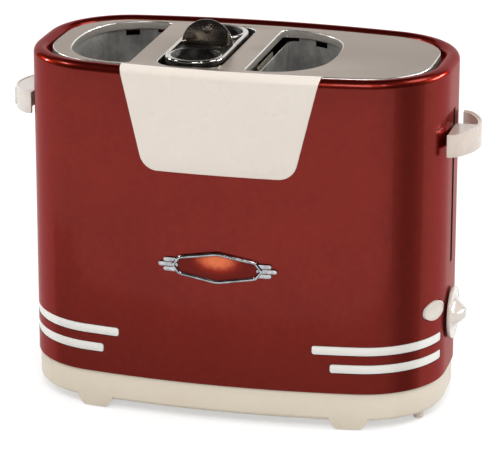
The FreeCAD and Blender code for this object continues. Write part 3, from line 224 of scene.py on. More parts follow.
def addNode(tree, kind, settings=(), *items, out=0, **slots):
    # its settings come first, then its sockets, in their order or by name; a list feeds one socket often
    node = tree.nodes.new(kind)
    for key, setting in dict(settings).items():
        setattr(node, key, setting)
    for slot, item in zip(node.inputs, items):
        feed(tree, slot, item)
    for label, level in slots.items():
        for item in level if isinstance(level, list) else [level]:
            feed(tree, socketNamed(node.inputs, label.replace("_", " ")), item)
    return Wire(tree, socketNamed(node.outputs, out) if out else node.outputs[0])


class Wire:
    # an output socket, with the operators that the trees below use
    def __init__(self, tree, socket):
        self.tree = tree
        self.socket = socket

    def math(self, operation, *items):
        return addNode(self.tree, "ShaderNodeMath", {"operation": operation}, *items)

    def vectorMath(self, operation, *items, **slots):
        return addNode(self.tree, "ShaderNodeVectorMath", {"operation": operation}, *items, **slots)

    def __add__(self, other):
        return self.math("ADD", self, other)

    def __sub__(self, other):
        return self.math("SUBTRACT", self, other)

    def __rsub__(self, other):
        return self.math("SUBTRACT", other, self)

    def __mul__(self, other):
        return self.math("MULTIPLY", self, other)

    def __pow__(self, other):
        return self.math("POWER", self, other)

    def least(self, other):
        return self.math("MINIMUM", self, other)

    def most(self, other):
        return self.math("MAXIMUM", self, other)

    def sine(self):
        return self.math("SINE", self)

    def cross(self, other):
        return self.vectorMath("CROSS_PRODUCT", self, other)

    def plus(self, other):
        return self.vectorMath("ADD", self, other)

    def times(self, level):
        return self.vectorMath("SCALE", self, Scale=level)

    def beside(self, label):
        # another output of the same node
        return Wire(self.tree, self.socket.node.outputs[label])

    def split(self):
        parts = addNode(self.tree, "ShaderNodeSeparateXYZ", (), self)
        return [parts.beside(axis) for axis in "XYZ"]

    def ramp(self, low, high, outLow=0.0, outHigh=1.0):
        return addNode(self.tree, "ShaderNodeMapRange", {"interpolation_type": "SMOOTHSTEP"}, Value=self,
                       From_Min=low, From_Max=high, To_Min=outLow, To_Max=outHigh)


class Graph:
    # a geometry node tree whose inputs are named for the piece's sizes
    def __init__(self, name, **inputs):
        self.tree = bpy.data.node_groups.new(name, "GeometryNodeTree")
        self.tree.interface.new_socket("Geometry", in_out="INPUT", socket_type="NodeSocketGeometry")
        self.tree.interface.new_socket("Geometry", in_out="OUTPUT", socket_type="NodeSocketGeometry")
        self.identifiers = {}
        for label, kind in inputs.items():
            entry = self.tree.interface.new_socket(label, in_out="INPUT", socket_type="NodeSocket" + kind)
            self.identifiers[label] = entry.identifier
        self.entry = self.tree.nodes.new("NodeGroupInput")
        self.leave = self.tree.nodes.new("NodeGroupOutput")

    def given(self, label):
        return Wire(self.tree, self.entry.outputs[label])

    def add(self, kind, settings=(), out=0, **slots):
        return addNode(self.tree, kind, settings, out=out, **slots)

    def vector(self, x, y, z):
        return self.add("ShaderNodeCombineXYZ", X=x, Y=y, Z=z)

    def finish(self, result):
        real = self.add("GeometryNodeRealizeInstances", Geometry=result)
        coat = self.add("GeometryNodeSetMaterial", Geometry=real, Material=self.given("Material"))
        feed(self.tree, self.leave.inputs[0], coat)
        return self

    def grow(self, piece, **levels):
        maker = piece.modifiers.new("maker", "NODES")
        maker.node_group = self.tree
        for label, level in levels.items():
            maker[self.identifiers[label]] = level
        return baked(piece)


class Finish:
    # a material whose shader's sockets have short names
    words = {"color": "Base Color", "coat": "Coat Weight", "coatRough": "Coat Roughness",
             "specular": "Specular IOR Level", "rough": "Roughness", "metal": "Metallic",
             "aniso": "Anisotropic", "tint": "Specular Tint", "normal": "Normal"}

    def __init__(self, name, **levels):
        self.material = bpy.data.materials.new(name)
        self.material.use_nodes = True
        self.tree = self.material.node_tree
        self.shader = self.tree.nodes["Principled BSDF"]
        for word, level in levels.items():
            self.set(word, level)

    def set(self, word, level):
        feed(self.tree, self.shader.inputs[self.words[word]], level)

    def place(self, stretch=(1, 1, 1)):
        spot = addNode(self.tree, "ShaderNodeTexCoord", out="Object")
        return addNode(self.tree, "ShaderNodeMapping", Vector=spot, Scale=stretch)

    def noise(self, scale, detail=3.0, roughness=0.5, stretch=(1, 1, 1)):
        return addNode(self.tree, "ShaderNodeTexNoise", Vector=self.place(stretch), Scale=scale,
                       Detail=detail, Roughness=roughness)

    def cells(self, scale):
        return addNode(self.tree, "ShaderNodeTexVoronoi", out="Distance", Vector=self.place(), Scale=scale)

    def blend(self, share, low, high):
        return addNode(self.tree, "ShaderNodeMix", {"data_type": "RGBA"}, out="Result", Factor=share,
                       A=low, B=high)

    def bump(self, height, depth, strength):
        self.set("normal", addNode(self.tree, "ShaderNodeBump", Height=height, Distance=depth,
                                   Strength=strength))


def redEnamelFinish():
    # a metallic enamel under a thin clear coat
    red = {"deep": (0.184, 0.0129, 0.0080), "full": (0.221, 0.0176, 0.0103), "rough": 0.33, "coat": 0.24}
    finish = Finish("redEnamel", metal=0.94, coat=red["coat"], coatRough=0.085, tint=(0.75, 0.30, 0.24))
    cloud = finish.noise(9, 2) * 0.35 + finish.noise(240, 3) * 0.65
    flake = finish.cells(2600)
    finish.set("color", finish.blend(cloud.ramp(0.3, 0.7) * 0.75 + flake * 0.25, red["deep"], red["full"]))
    finish.set("rough", finish.noise(28, 4).ramp(0.3, 0.7, red["rough"] - 0.02, red["rough"] + 0.04))
    finish.bump(finish.noise(900, 1), fineGrain, 0.25)
    return finish.material


def ivoryFinish(name, colour, rough, coat=0.25, cloudiness=0.96):
    finish = Finish(name, coat=coat, coatRough=0.1)
    shares = (cloudiness, cloudiness - 0.01, cloudiness - 0.025)
    shade = tuple(level * share for level, share in zip(colour, shares))
    cloud = finish.noise(11, 2) * 0.7 + finish.noise(170, 2) * 0.3
    finish.set("color", finish.blend(cloud.ramp(0.3, 0.7), shade, colour))
    finish.set("rough", finish.noise(50, 3).ramp(0.3, 0.7, rough - 0.04, rough + 0.06))
    finish.bump(finish.noise(1500, 2), fineGrain, 0.35)
    return finish.material


def brushedFinish(name, dark, bright, rough, stretch, metal=1.0):
    # fine lines along the way that the stretch leaves long
    finish = Finish(name, metal=metal, aniso=0.3)
    line = finish.noise(1.0, 4, 0.65, stretch)
    wide = finish.noise(14, 3)
    finish.set("color", finish.blend(line.ramp(0.3, 0.7) * 0.7 + wide.ramp(0.3, 0.7) * 0.3, dark, bright))
    finish.set("rough", line.ramp(0.3, 0.7, rough - 0.05, rough + 0.07) + wide * 0.05)
    finish.bump(line, fineGrain, 0.5)
    return finish.material


def metalFinish(name, dark, bright, rough, scale=40, grain=300, depth=fineGrain):
    finish = Finish(name, metal=1.0)
    cloud = finish.noise(scale, 4, 0.6)
    finish.set("color", finish.blend(cloud.ramp(0.3, 0.7), dark, bright))
    finish.set("rough", cloud.ramp(0.3, 0.75, max(rough - 0.03, 0.02), rough + 0.07))
    finish.bump(finish.noise(grain, 2), depth, 0.4)
    return finish.material


def plainFinish(name, dark, bright, rough, scale=60, grain=1200):
    finish = Finish(name)
    cloud = finish.noise(scale, 4, 0.6)
    finish.set("color", finish.blend(cloud.ramp(0.3, 0.7), dark, bright))
    finish.set("rough", cloud.ramp(0.3, 0.7, rough - 0.05, rough + 0.05))
    finish.bump(finish.noise(grain, 2), 2 * fineGrain, 0.5)
    return finish.material


def wellFinish():
    # galvanised sheet: cloudy, with a spangle and faint drawn lines down the wall
    sheet = {"dark": (0.16, 0.155, 0.145), "bright": (0.46, 0.45, 0.43), "rough": 0.36}
    finish = Finish("wellSheet", metal=0.35)
    spangle = finish.noise(38, 6, 0.66)
    drawn = finish.noise(1.0, 3, 0.6, (420, 420, 22))
    cloud = spangle.ramp(0.28, 0.72) * 0.86 + drawn.ramp(0.3, 0.7) * 0.14
    finish.set("color", finish.blend(cloud, sheet["dark"], sheet["bright"]))
    finish.set("rough", cloud * 0.14 + sheet["rough"] - 0.05)
    finish.bump(cloud, 2 * fineGrain, 0.5)
    return finish.material


def emblemFinish():
    # enamel over a domed ground; a warm highlight is painted above its middle, and the enamel darkens towards
    # its edges
    glow = {"rim": (0.135, 0.010, 0.007), "field": (0.34, 0.022, 0.012), "paintedHighlight": (0.82, 0.20, 0.085),
            "centre": (0.0, 0.1095), "paintedHighlightReach": (0.0130, 0.0062), "fieldReach": (0.021, 0.0115)}
    finish = Finish("emblemEnamel", coat=0.05, coatRough=0.1, rough=0.5, tint=(0.8, 0.2, 0.15))
    x, _, z = finish.place().split()

    def distance(reach):
        across = (x - glow["centre"][0]) * (1 / reach[0])
        up = (z - glow["centre"][1]) * (1 / reach[1])
        return (across * across + up * up) ** 0.5

    field = finish.blend(distance(glow["fieldReach"]).ramp(0.35, 0.95), glow["field"], glow["rim"])
    # the painted highlight: bright orange round a spot above the middle, broken up by noise
    paintedHighlight = distance(glow["paintedHighlightReach"]) + finish.noise(420, 3) * 0.5
    finish.set("color", finish.blend(paintedHighlight.ramp(0.55, 1.45), glow["paintedHighlight"], field))
    finish.bump(finish.noise(600, 2), 2 * fineGrain, 0.3)
    return finish.material


finishes = {
    "shell": redEnamelFinish(),
    # the shell's inside, near black: painted shade
    "shellInsideShade": plainFinish("shellPrimer", (0.012, 0.011, 0.011), (0.024, 0.021, 0.020), 0.65),
    "front": ivoryFinish("ivoryFront", (0.83, 0.75, 0.67), 0.28, 0.2, 0.98),
    "base": ivoryFinish("ivoryBase", (0.81, 0.715, 0.58), 0.38, 0.15),
    "ivory": ivoryFinish("ivoryPlastic", (0.77, 0.655, 0.575), 0.24, 0.35),
    "knob": ivoryFinish("ivoryKnob", (0.78, 0.70, 0.62), 0.16, 0.7),
    "plate": brushedFinish("brushedPlate", (0.325, 0.255, 0.200), (0.440, 0.356, 0.290), 0.31,
                           (45, 1900, 1900)),
    "strip": brushedFinish("satinStrip", (0.86, 0.84, 0.785), (0.97, 0.95, 0.90), 0.3,
                           (300, 300, 5200), 0.3),
    # the plate's own lip, painted lighter than the plate: painted light
    "lip": brushedFinish("plateLip", (0.42, 0.38, 0.33), (0.60, 0.56, 0.50), 0.3,
                         (300, 300, 2600), 0.45),
    # a pale line on bevels and edges: painted highlight
    "edgeHighlight": metalFinish("sheetEdge", (0.82, 0.80, 0.77), (0.96, 0.94, 0.91), 0.3),
    # chrome painted dark for the tubes and the sunk deck: painted shade
    "tube": metalFinish("tubeSteel", (0.045, 0.042, 0.038), (0.15, 0.14, 0.13), 0.42, 120),
    "handle": ivoryFinish("ivoryHandle", (0.86, 0.79, 0.72), 0.24, 0.35),
    "chrome": metalFinish("chrome", (0.46, 0.43, 0.40), (0.66, 0.63, 0.59), 0.12),
    # the tab's chrome, painted darker and warmer than the basket's chrome: painted reflection
    "tab": metalFinish("darkChrome", (0.30, 0.265, 0.225), (0.46, 0.41, 0.355), 0.14, 55),
    "emblem": emblemFinish(),
    "emblemFrame": metalFinish("emblemChrome", (0.30, 0.30, 0.32), (0.62, 0.62, 0.64), 0.13, 260),
    "well": wellFinish(),
    "zinc": metalFinish("zincSheet", (0.30, 0.30, 0.29), (0.46, 0.45, 0.42), 0.38, 120, 500, 2 * fineGrain),
    "steel": metalFinish("screwSteel", (0.40, 0.40, 0.40), (0.60, 0.60, 0.60), 0.28, 200),
    "shadow": plainFinish("grooveDark", (0.008, 0.003, 0.003), (0.018, 0.006, 0.006), 0.6),
    "rubber": plainFinish("rubber", (0.018, 0.018, 0.018), (0.035, 0.034, 0.033), 0.75, 140, 2600),
    # black plastic, also painted on the lip round the basket as painted shade
    "black": plainFinish("blackPlastic", (0.020, 0.020, 0.021), (0.036, 0.035, 0.035), 0.42),
    "mica": plainFinish("micaBoard", (0.42, 0.36, 0.26), (0.66, 0.60, 0.47), 0.55, 45, 900),
    "ribbon": metalFinish("heatingRibbon", (0.20, 0.17, 0.15), (0.38, 0.35, 0.33), 0.4, 80),
    "copper": metalFinish("copperWinding", (0.42, 0.16, 0.07), (0.66, 0.30, 0.15), 0.28, 400),
    "board": plainFinish("circuitBoard", (0.012, 0.085, 0.03), (0.03, 0.15, 0.06), 0.4, 300, 2000),
}
print("finishes made:", len(finishes))


plan = {"halfLength": 0.136, "halfWidth": 0.073, "sideRadius": 0.590, "endRadius": 0.650,
        "cornerRadius": 0.055, "turnSlack": 1e-6}


def cornerCentre():
    sideY = plan["halfWidth"] - plan["sideRadius"]
    endX = plan["halfLength"] - plan["endRadius"]
    sideReach = plan["sideRadius"] - plan["cornerRadius"]
    endReach = plan["endRadius"] - plan["cornerRadius"]
    apart = math.hypot(endX, sideY)
    along = (sideReach**2 - endReach**2 + apart**2) / (2 * apart)
    aside = math.sqrt(sideReach**2 - along**2)
    unit = Vector((endX / apart, -sideY / apart))
    spots = [Vector((unit.x * along - turn * unit.y * aside, sideY + unit.y * along + turn * unit.x * aside))
             for turn in (1, -1)]
    return max(spots, key=lambda spot: spot.x + spot.y)


def planArcs():
    # eight arcs, counter-clockwise from the right end: (centre, radius, start, stop)
    sideY = plan["halfWidth"] - plan["sideRadius"]
    endX = plan["halfLength"] - plan["endRadius"]
    corner = cornerCentre()
    endTurn = math.atan2(corner.y, corner.x - endX)
    sideTurn = math.atan2(corner.y - sideY, corner.x)
    half = math.pi
    side, end, bend = plan["sideRadius"], plan["endRadius"], plan["cornerRadius"]
    return [
        (Vector((endX, 0)), end, -endTurn, endTurn),
        (Vector((corner.x, corner.y)), bend, endTurn, sideTurn),
        (Vector((0, sideY)), side, sideTurn, half - sideTurn),
        (Vector((-corner.x, corner.y)), bend, half - sideTurn, half - endTurn),
        (Vector((-endX, 0)), end, half - endTurn, half + endTurn),
        (Vector((-corner.x, -corner.y)), bend, half + endTurn, half + sideTurn),
        (Vector((0, -sideY)), side, half + sideTurn, 2 * half - sideTurn),
        (Vector((corner.x, -corner.y)), bend, 2 * half - sideTurn, 2 * half - endTurn),
    ]


def planStations(spacing, cornerTurn):
    # points round the plan with their outward normals
    stations = []
    for centre, radius, start, stop in planArcs():
        turn = stop - start
        steps = max(2, math.ceil(turn * radius / spacing), math.ceil(math.degrees(turn) / cornerTurn))
        for step in range(steps):
            angle = start + turn * step / steps
            normal = Vector((math.cos(angle), math.sin(angle)))
            stations.append((centre + normal * radius, normal))
    return stations


def planInset(x, y):
    # how far a spot lies inside the plan's outline
    insets, slack = [], plan["turnSlack"]
    for centre, radius, start, stop in planArcs():
        away = Vector((x, y)) - centre
        angle = math.atan2(away.y, away.x)
        if any(start - slack <= angle + lap <= stop + slack for lap in (0, 2 * math.pi)):
            insets.append(radius - away.length)
    return min(insets, default=0.0)


def frontDepth(x):
    # the front's y at an x near its middle
    return plan["sideRadius"] - plan["halfWidth"] - math.sqrt(plan["sideRadius"]**2 - x * x)


shell = {"foot": 0.025, "rim": 0.230, "wall": 0.0014, "roll": 0.005, "flange": 0.008, "ledge": 0.2227,
         "ledgeReach": 0.0136, "rollSteps": 16, "spacing": (0.004, 1.6), "skin": 0.0009,
         "rollReach": 0.0093, "through": (0.12, 0.14), "slot": (0.0965, 0.199), "slotHalf": 0.003,
         "shaft": (0.062, 0.004),
         "screws": (0.007, 0.1895, 0.00165), "button": (22.5, 0.074), "buttonHole": (0.0112, 0.0066, 0.0048),
         "buttonDeep": (-0.008, 0.006)}
strips = {"height": 0.0056, "thick": 0.0006, "depth": 0.0008, "margin": 0.00035, "endSide": 0.023,
          "endRound": 0.0016, "grooveRound": 0.0019, "edge": 0.00015, "columns": 150,
          "spacing": (0.0004, 0.4), "runs": ("left", "right_front", "right_rear"),
          "rows": {"lower": (0.0389, 0.0772, 0.0718), "upper": (0.0509, 0.0664, 0.0604)}}


def sweptGraph():
    # carries a section round the plan
    graph = Graph("sweptShell", Section="Object", Material="Material")
    path = graph.add("GeometryNodeMeshToCurve", Mesh=graph.given("Geometry"))
    path = graph.add("GeometryNodeSetCurveNormal", {"mode": "Z_UP"}, Curve=path)
    section = graph.add("GeometryNodeObjectInfo", out="Geometry", Object=graph.given("Section"))
    section = graph.add("GeometryNodeMeshToCurve", Mesh=section)
    return graph.finish(graph.add("GeometryNodeCurveToMesh", Curve=path, Profile_Curve=section))


def bandGraph():
    # a flat band along a run, with rounded ends; its block's length is eased so that the ends are fine
    graph = Graph("trimBand", Height="Float", Thickness="Float", EndRound="Float", Columns="Int",
                  Material="Material")
    run = graph.add("GeometryNodeMeshToCurve", Mesh=graph.given("Geometry"))
    length = graph.add("GeometryNodeCurveLength", Curve=run)
    block = graph.add("GeometryNodeMeshCube", Size=(1, 1, 1), Vertices_X=graph.given("Columns"))
    x, y, z = graph.add("GeometryNodeInputPosition").split()
    share = (x * math.pi).sine() * 0.5 + 0.5
    sample = graph.add("GeometryNodeSampleCurve", {"mode": "FACTOR"}, "Position", Curves=run, Factor=share)
    away = sample.beside("Tangent").cross((0, 0, 1))
    corner = graph.given("EndRound")
    gap = (corner - share.least(1 - share) * length).most(0)
    trim = corner - (corner * corner - gap * gap).most(0) ** 0.5
    height = z * (graph.given("Height") - trim * 2)
    spot = sample.plus(away.times(y * graph.given("Thickness") * -1)).plus(graph.vector(0, 0, height))
    return graph.finish(graph.add("GeometryNodeSetPosition", Geometry=block, Position=spot))


sweptShell, trimBand = sweptGraph(), bandGraph()


def shellSection():
    # insets and heights, from the outer foot up over the roll and back down inside
    roll, wall = shell["roll"], shell["wall"]
    spring, steps = shell["rim"] - roll, shell["rollSteps"]
    points = [(0, shell["foot"] + (spring - shell["foot"]) * step / 6) for step in range(6)]
    points += [(roll - across, spring + up) for across, up in arcPoints((0, 0), roll, 0, math.pi, steps)]
    points += [(2 * roll, shell["ledge"]), (shell["ledgeReach"], shell["ledge"])]
    points += [(shell["ledgeReach"], shell["ledge"] - wall), (2 * roll - wall, shell["ledge"] - wall)]
    inner = arcPoints((0, 0), roll - wall, math.pi, 0, steps)
    points += [(roll - across, spring + up) for across, up in inner]
    inside = shell["foot"] + wall
    return points + [(wall, inside), (shell["flange"], inside), (shell["flange"], shell["foot"])]


def buttonPlace():
    corner, turn = cornerCentre(), math.radians(shell["button"][0])
    reach = plan["cornerRadius"]
    spot = Vector((corner.x + reach * math.cos(turn), -corner.y - reach * math.sin(turn), shell["button"][1]))
    return Matrix.Translation(spot) @ Matrix.Rotation(-turn, 4, "Z")


def flatOval(halfLength, halfHeight, endRadius, steps=14):
    # four tangent arcs, as (across, up) points
    big = (halfLength**2 + halfHeight**2 - 2 * halfLength * endRadius) / (2 * (halfHeight - endRadius))
    lean, half = math.atan2(big - halfHeight, halfLength - endRadius), math.pi
    points = []
    for centre, radius, start, stop in (
        ((halfLength - endRadius, 0), endRadius, -lean, lean),
        ((0, halfHeight - big), big, lean, half - lean),
        ((endRadius - halfLength, 0), endRadius, half - lean, half + lean),
        ((0, big - halfHeight), big, half + lean, 2 * half - lean),
    ):
        points += arcPoints(centre, radius, start, stop, steps)[:-1]
    return points


def stripRun(keep, row, margin, inset):
    # the stretch of the plan that a strip follows, at its middle height
    low, leftStart, rightStart = strips["rows"][row]
    stations = planStations(*strips["spacing"])
    stop = strips["endSide"] - margin
    if keep == "left":
        run = [s for s in stations if s[0].x <= margin - leftStart]
    elif keep == "right_rear":
        run = [s for s in stations if s[0].x >= rightStart - margin and s[0].y >= stop]
    else:
        run = [s for s in stations if s[0].x >= rightStart - margin and s[0].y <= -stop]
        run.sort(key=lambda s: math.atan2(s[0].y, s[0].x))
    level = low + strips["height"] / 2
    return [(spot.x - normal.x * inset, spot.y - normal.y * inset, level) for spot, normal in run]


def stripPiece(name, keep, row, margin, outer, inner, endRound, coat):
    run = stripRun(keep, row, margin, (outer + inner) / 2)
    piece = linkPiece(name, loopMesh(name, run, closed=False))
    trimBand.grow(piece, Height=strips["height"] + 2 * margin, Thickness=inner - outer, EndRound=endRound,
                  Columns=strips["columns"], Material=coat)
    tidyMesh(piece.data)
    return piece


def makeShell():
    section = linkPiece("section", loopMesh("section", [(-inset, -up, 0) for inset, up in shellSection()]))
    path = [(spot.x, spot.y, 0) for spot, _ in planStations(*shell["spacing"])]
    piece = linkPiece("outerShell", loopMesh("outerShell", path))
    sweptShell.grow(piece, Section=section, Material=finishes["shell"])
    bpy.data.objects.remove(section)
    tidyMesh(piece.data)
    piece.data.materials.append(finishes["shellInsideShade"])
    roll, spring, skin = shell["roll"], shell["rim"] - shell["roll"], shell["skin"]
    # the inner faces of the wall and of the roll take the near-black painted shade
    for face in piece.data.polygons:
        inset = planInset(face.center.x, face.center.y)
        low = inset > skin and face.center.z < shell["ledge"] - spare
        rolled = math.hypot(inset - roll, face.center.z - spring) < roll - skin
        if low or skin < inset < shell["rollReach"] and rolled:
            face.material_index = 1
    dark, (inside, outside) = finishes["shadow"], shell["through"]
    for row in strips["rows"]:
        for keep in strips["runs"]:
            cut(piece, stripPiece("groove", keep, row, strips["margin"], -spare, strips["depth"],
                                  strips["grooveRound"], dark))
    half, (low, high) = shell["slotHalf"], shell["slot"]
    cut(piece, boxCutter("leverSlot", (inside, -half, low), (outside, half, high), dark))
    level, radius = shell["shaft"]
    cut(piece, prism("shaftHole", ringPoints((0, level), radius, 40), inside, outside, alongX, dark))
    across, level, radius = shell["screws"]
    for side in (-1, 1):
        ring = ringPoints((side * across, level), radius, 20)
        cut(piece, prism("screwHole", ring, -outside, -inside, alongX, dark))
    cut(piece, prism("buttonHole", flatOval(*shell["buttonHole"]), *shell["buttonDeep"], buttonPlace(), dark))
    return seated(smoothed(piece, 30), "outer_shell")


def makeStrips():
    outer, inner = strips["depth"] - strips["thick"], strips["depth"]
    for row in strips["rows"]:
        for keep in strips["runs"]:
            name = f"trim_strip_{keep}_{row}"
            piece = stripPiece(name + "_skin", keep, row, 0, outer, inner, strips["endRound"],
                               finishes["strip"])
            rounded(piece, strips["edge"], 2, 40)
            seated(smoothed(piece, 40), name)


makeShell()
makeStrips()
print("shell and strips made")


frontPlate = {"thick": 0.0012, "halfTop": 0.064, "halfBottom": 0.0484, "bottom": 0.1653, "corner": 0.012,
              "edge": 0.00045, "below": 0.005, "above": 0.006, "halfBlank": 0.072, "columns": 44,
              "trim": (-0.09, -0.02)}


def makeFrontPlate():
    thick, roll, bottom = frontPlate["thick"], shell["roll"], frontPlate["bottom"]
    spring = shell["rim"] - roll
    start = bottom - frontPlate["below"]
    section = [(-thick, start + (spring - start) * step / 4) for step in range(4)]
    section += [(roll - x, spring + z) for x, z in arcPoints((0, 0), roll + thick, 0, math.pi, 16)]
    section += [(roll - x, spring + z) for x, z in arcPoints((0, 0), roll, math.pi, 0, 16)]
    section.append((0, start))
    centre = Vector((0, plan["sideRadius"] - plan["halfWidth"]))
    columns, span = frontPlate["columns"], math.asin(frontPlate["halfBlank"] / plan["sideRadius"])
    points, count = [], len(section)
    for column in range(columns + 1):
        angle = -math.pi / 2 + span * (2 * column / columns - 1)
        for inset, height in section:
            reach = plan["sideRadius"] - inset
            points.append((centre.x + reach * math.cos(angle), centre.y + reach * math.sin(angle), height))
    faces = quadRows(columns + 1, count)
    faces += [tuple(range(count)), tuple(range(len(points) - 1, len(points) - count - 1, -1))]
    piece = solidPiece("frontPlate", points, faces, finishes["front"])
    slope = (frontPlate["halfTop"] - frontPlate["halfBottom"]) / (shell["rim"] - bottom)
    top = shell["rim"] + frontPlate["above"]
    wide = frontPlate["halfBottom"] + slope * (top - bottom)
    lean = math.atan2(1, slope)
    bend = frontPlate["corner"]
    middle = (frontPlate["halfBottom"] - bend * math.tan(lean / 2), bottom + bend)
    side = arcPoints(middle, bend, -math.pi / 2, lean - math.pi / 2, 12) + [(wide, top)]
    outline = side + [(-across, up) for across, up in reversed(side)]
    cut(piece, prism("frontTrim", outline, *frontPlate["trim"], alongY, finishes["front"]), "INTERSECT")
    rounded(piece, frontPlate["edge"], 3, 50)
    return seated(smoothed(piece, 35), "front_plate")


makeFrontPlate()
print("front plate made")


emblem = {"middle": 0.1045, "tip": 0.030, "shoulder": 0.0253, "shoulderRise": 0.0062, "peak": 0.0107,
          "tube": 0.00125, "tubeDepth": 0.0009, "lift": 0.0007, "dome": 0.0005,
          "bars": (0.0285, 0.035, 0.0385), "barHeight": 0.0027, "barPitch": 0.0031, "barDepth": 0.0014,
          "barRoot": 0.003, "barSunk": 0.0006, "barRound": 0.0013, "barEdge": 0.0006, "barColumns": 40,
          "sides": 16, "columns": 60, "rows": 12, "margin": 0.0001, "leastHigh": 0.00005, "wall": 0.001}


def tubeGraph():
    # a tube of oval section along a closed or open run
    graph = Graph("frameTube", Radius="Float", Sides="Int", Material="Material")
    path = graph.add("GeometryNodeMeshToCurve", Mesh=graph.given("Geometry"))
    path = graph.add("GeometryNodeSetCurveNormal", {"mode": "MINIMUM_TWIST"}, Curve=path)
    ring = graph.add("GeometryNodeCurvePrimitiveCircle", Radius=graph.given("Radius"),
                     Resolution=graph.given("Sides"))
    tube = graph.add("GeometryNodeCurveToMesh", Curve=path, Profile_Curve=ring, Fill_Caps=True)
    return graph.finish(tube)


frameTube = tubeGraph()


def emblemHalfHeight(x, inset=0.0):
    # the outline's height above its middle at an x
    x, tip, shoulder = abs(x), emblem["tip"] - inset, emblem["shoulder"] - inset * 0.4
    peak, rise = emblem["peak"] - inset, emblem["shoulderRise"] - inset * 0.8
    if x <= shoulder:
        return peak + (rise - peak) * x / shoulder
    return max(rise * (tip - x) / (tip - shoulder), 0)


def makeEmblem():
    inset = emblem["tube"]
    tip, shoulder = emblem["tip"] - inset, emblem["shoulder"] - inset * 0.4
    corners = [(tip, 0), (shoulder, 1), (0, 1), (-shoulder, 1),
               (-tip, 0), (-shoulder, -1), (0, -1), (shoulder, -1)]
    corners = [(x, side * emblemHalfHeight(x, inset)) for x, side in corners]
    run = []
    for (x, z), (nextX, nextZ) in zip(corners, corners[1:] + corners[:1]):
        for step in range(8):
            share = (step + 0.5) / 8
            px, pz = x + (nextX - x) * share, z + (nextZ - z) * share
            run.append((px, frontDepth(px) - emblem["tubeDepth"], emblem["middle"] + pz))
    piece = linkPiece("emblemFrame", loopMesh("emblemFrame", run))
    frameTube.grow(piece, Radius=emblem["tube"], Sides=emblem["sides"], Material=finishes["emblemFrame"])
    start, outer, middle = emblem["bars"]
    depth, sunk, bars = emblem["barDepth"], emblem["barSunk"], []
    for side in (-1, 1):
        for row, stop in ((-1, outer), (0, middle), (1, outer)):
            ends = sorted([side * (start - emblem["barRoot"]), side * stop])
            level = emblem["middle"] + row * emblem["barPitch"]
            xs = [ends[0] + (ends[1] - ends[0]) * step / 12 for step in range(13)]
            run = [(x, frontDepth(x) - depth / 2 + sunk / 2, level) for x in xs]
            bar = linkPiece("bar", loopMesh("bar", run, False))
            trimBand.grow(bar, Height=emblem["barHeight"], Thickness=depth + sunk,
                          EndRound=emblem["barRound"], Columns=emblem["barColumns"],
                          Material=finishes["emblemFrame"])
            tidyMesh(bar.data)
            bars.append(rounded(bar, emblem["barEdge"], 3, 40))
    joined(piece, *bars)
    seated(smoothed(coated(piece, finishes["emblemFrame"]), 50), "badge_frame")

    columns, rows, points = emblem["columns"], emblem["rows"], []
    reach = tip - emblem["margin"]
    for column in range(columns + 1):
        x = reach * math.sin(math.pi * (column / columns - 0.5))
        high = max(emblemHalfHeight(x, inset), emblem["leastHigh"])
        for row in range(rows + 1):
            t = 2 * row / rows - 1
            crown = emblem["dome"] * (1 - t * t) * (1 - (x / reach) ** 2)
            points.append((x, frontDepth(x) - emblem["lift"] - crown, emblem["middle"] + t * high))
    mesh = meshFrom("emblemPanel", points, quadRows(columns + 1, rows + 1, closed=False))
    panel = coated(linkPiece("emblemPanel", mesh), finishes["emblem"])
    wall = panel.modifiers.new("wall", "SOLIDIFY")
    wall.thickness = emblem["wall"]
    wall.offset = -1
    baked(panel)
    tidyMesh(panel.data)
    seated(smoothed(panel, 50), "badge_panel")


makeEmblem()
print("emblem made")


bow = {"near": 0.137, "reach": 0.0165, "corner": 0.009, "wall": 0.0028, "height": 0.0145,
       "web": 0.0025, "webDrop": 0.008, "lip": 0.0013, "lipDrop": 0.0006, "edge": 0.00035,
       "bossHeight": 0.011, "behind": 0.004, "block": (0.13, 0.16, 0.01),
       "lever": {"level": 0.182, "boss": 0.0045, "start": 0.137, "half": 0.030, "openFrom": -0.002},
       "handle": {"level": 0.1895, "boss": 0.011, "start": 0.136, "half": 0.0248, "openFrom": 1.0}}


def bowOutline(side, inset, half):
    # a chord beside the shell, a corner arc at each end of it and a wide arc between them
    half, reach, corner = half - inset, bow["reach"] - inset, bow["corner"] - inset
    wide = (reach**2 + (half - corner) ** 2 - corner**2) / (2 * (reach - corner))
    lean = math.asin((half - corner) / (wide - corner))
    near = bow["near"]
    low = arcPoints((near, corner - half), corner, -math.pi / 2, -lean, 14)
    high = arcPoints((near, half - corner), corner, lean, math.pi / 2, 14)
    arc = arcPoints((near + reach - wide, 0), wide, -lean, lean, 36)
    outline = low + arc[1:-1] + high
    return [(side * x, y) for x, y in outline]


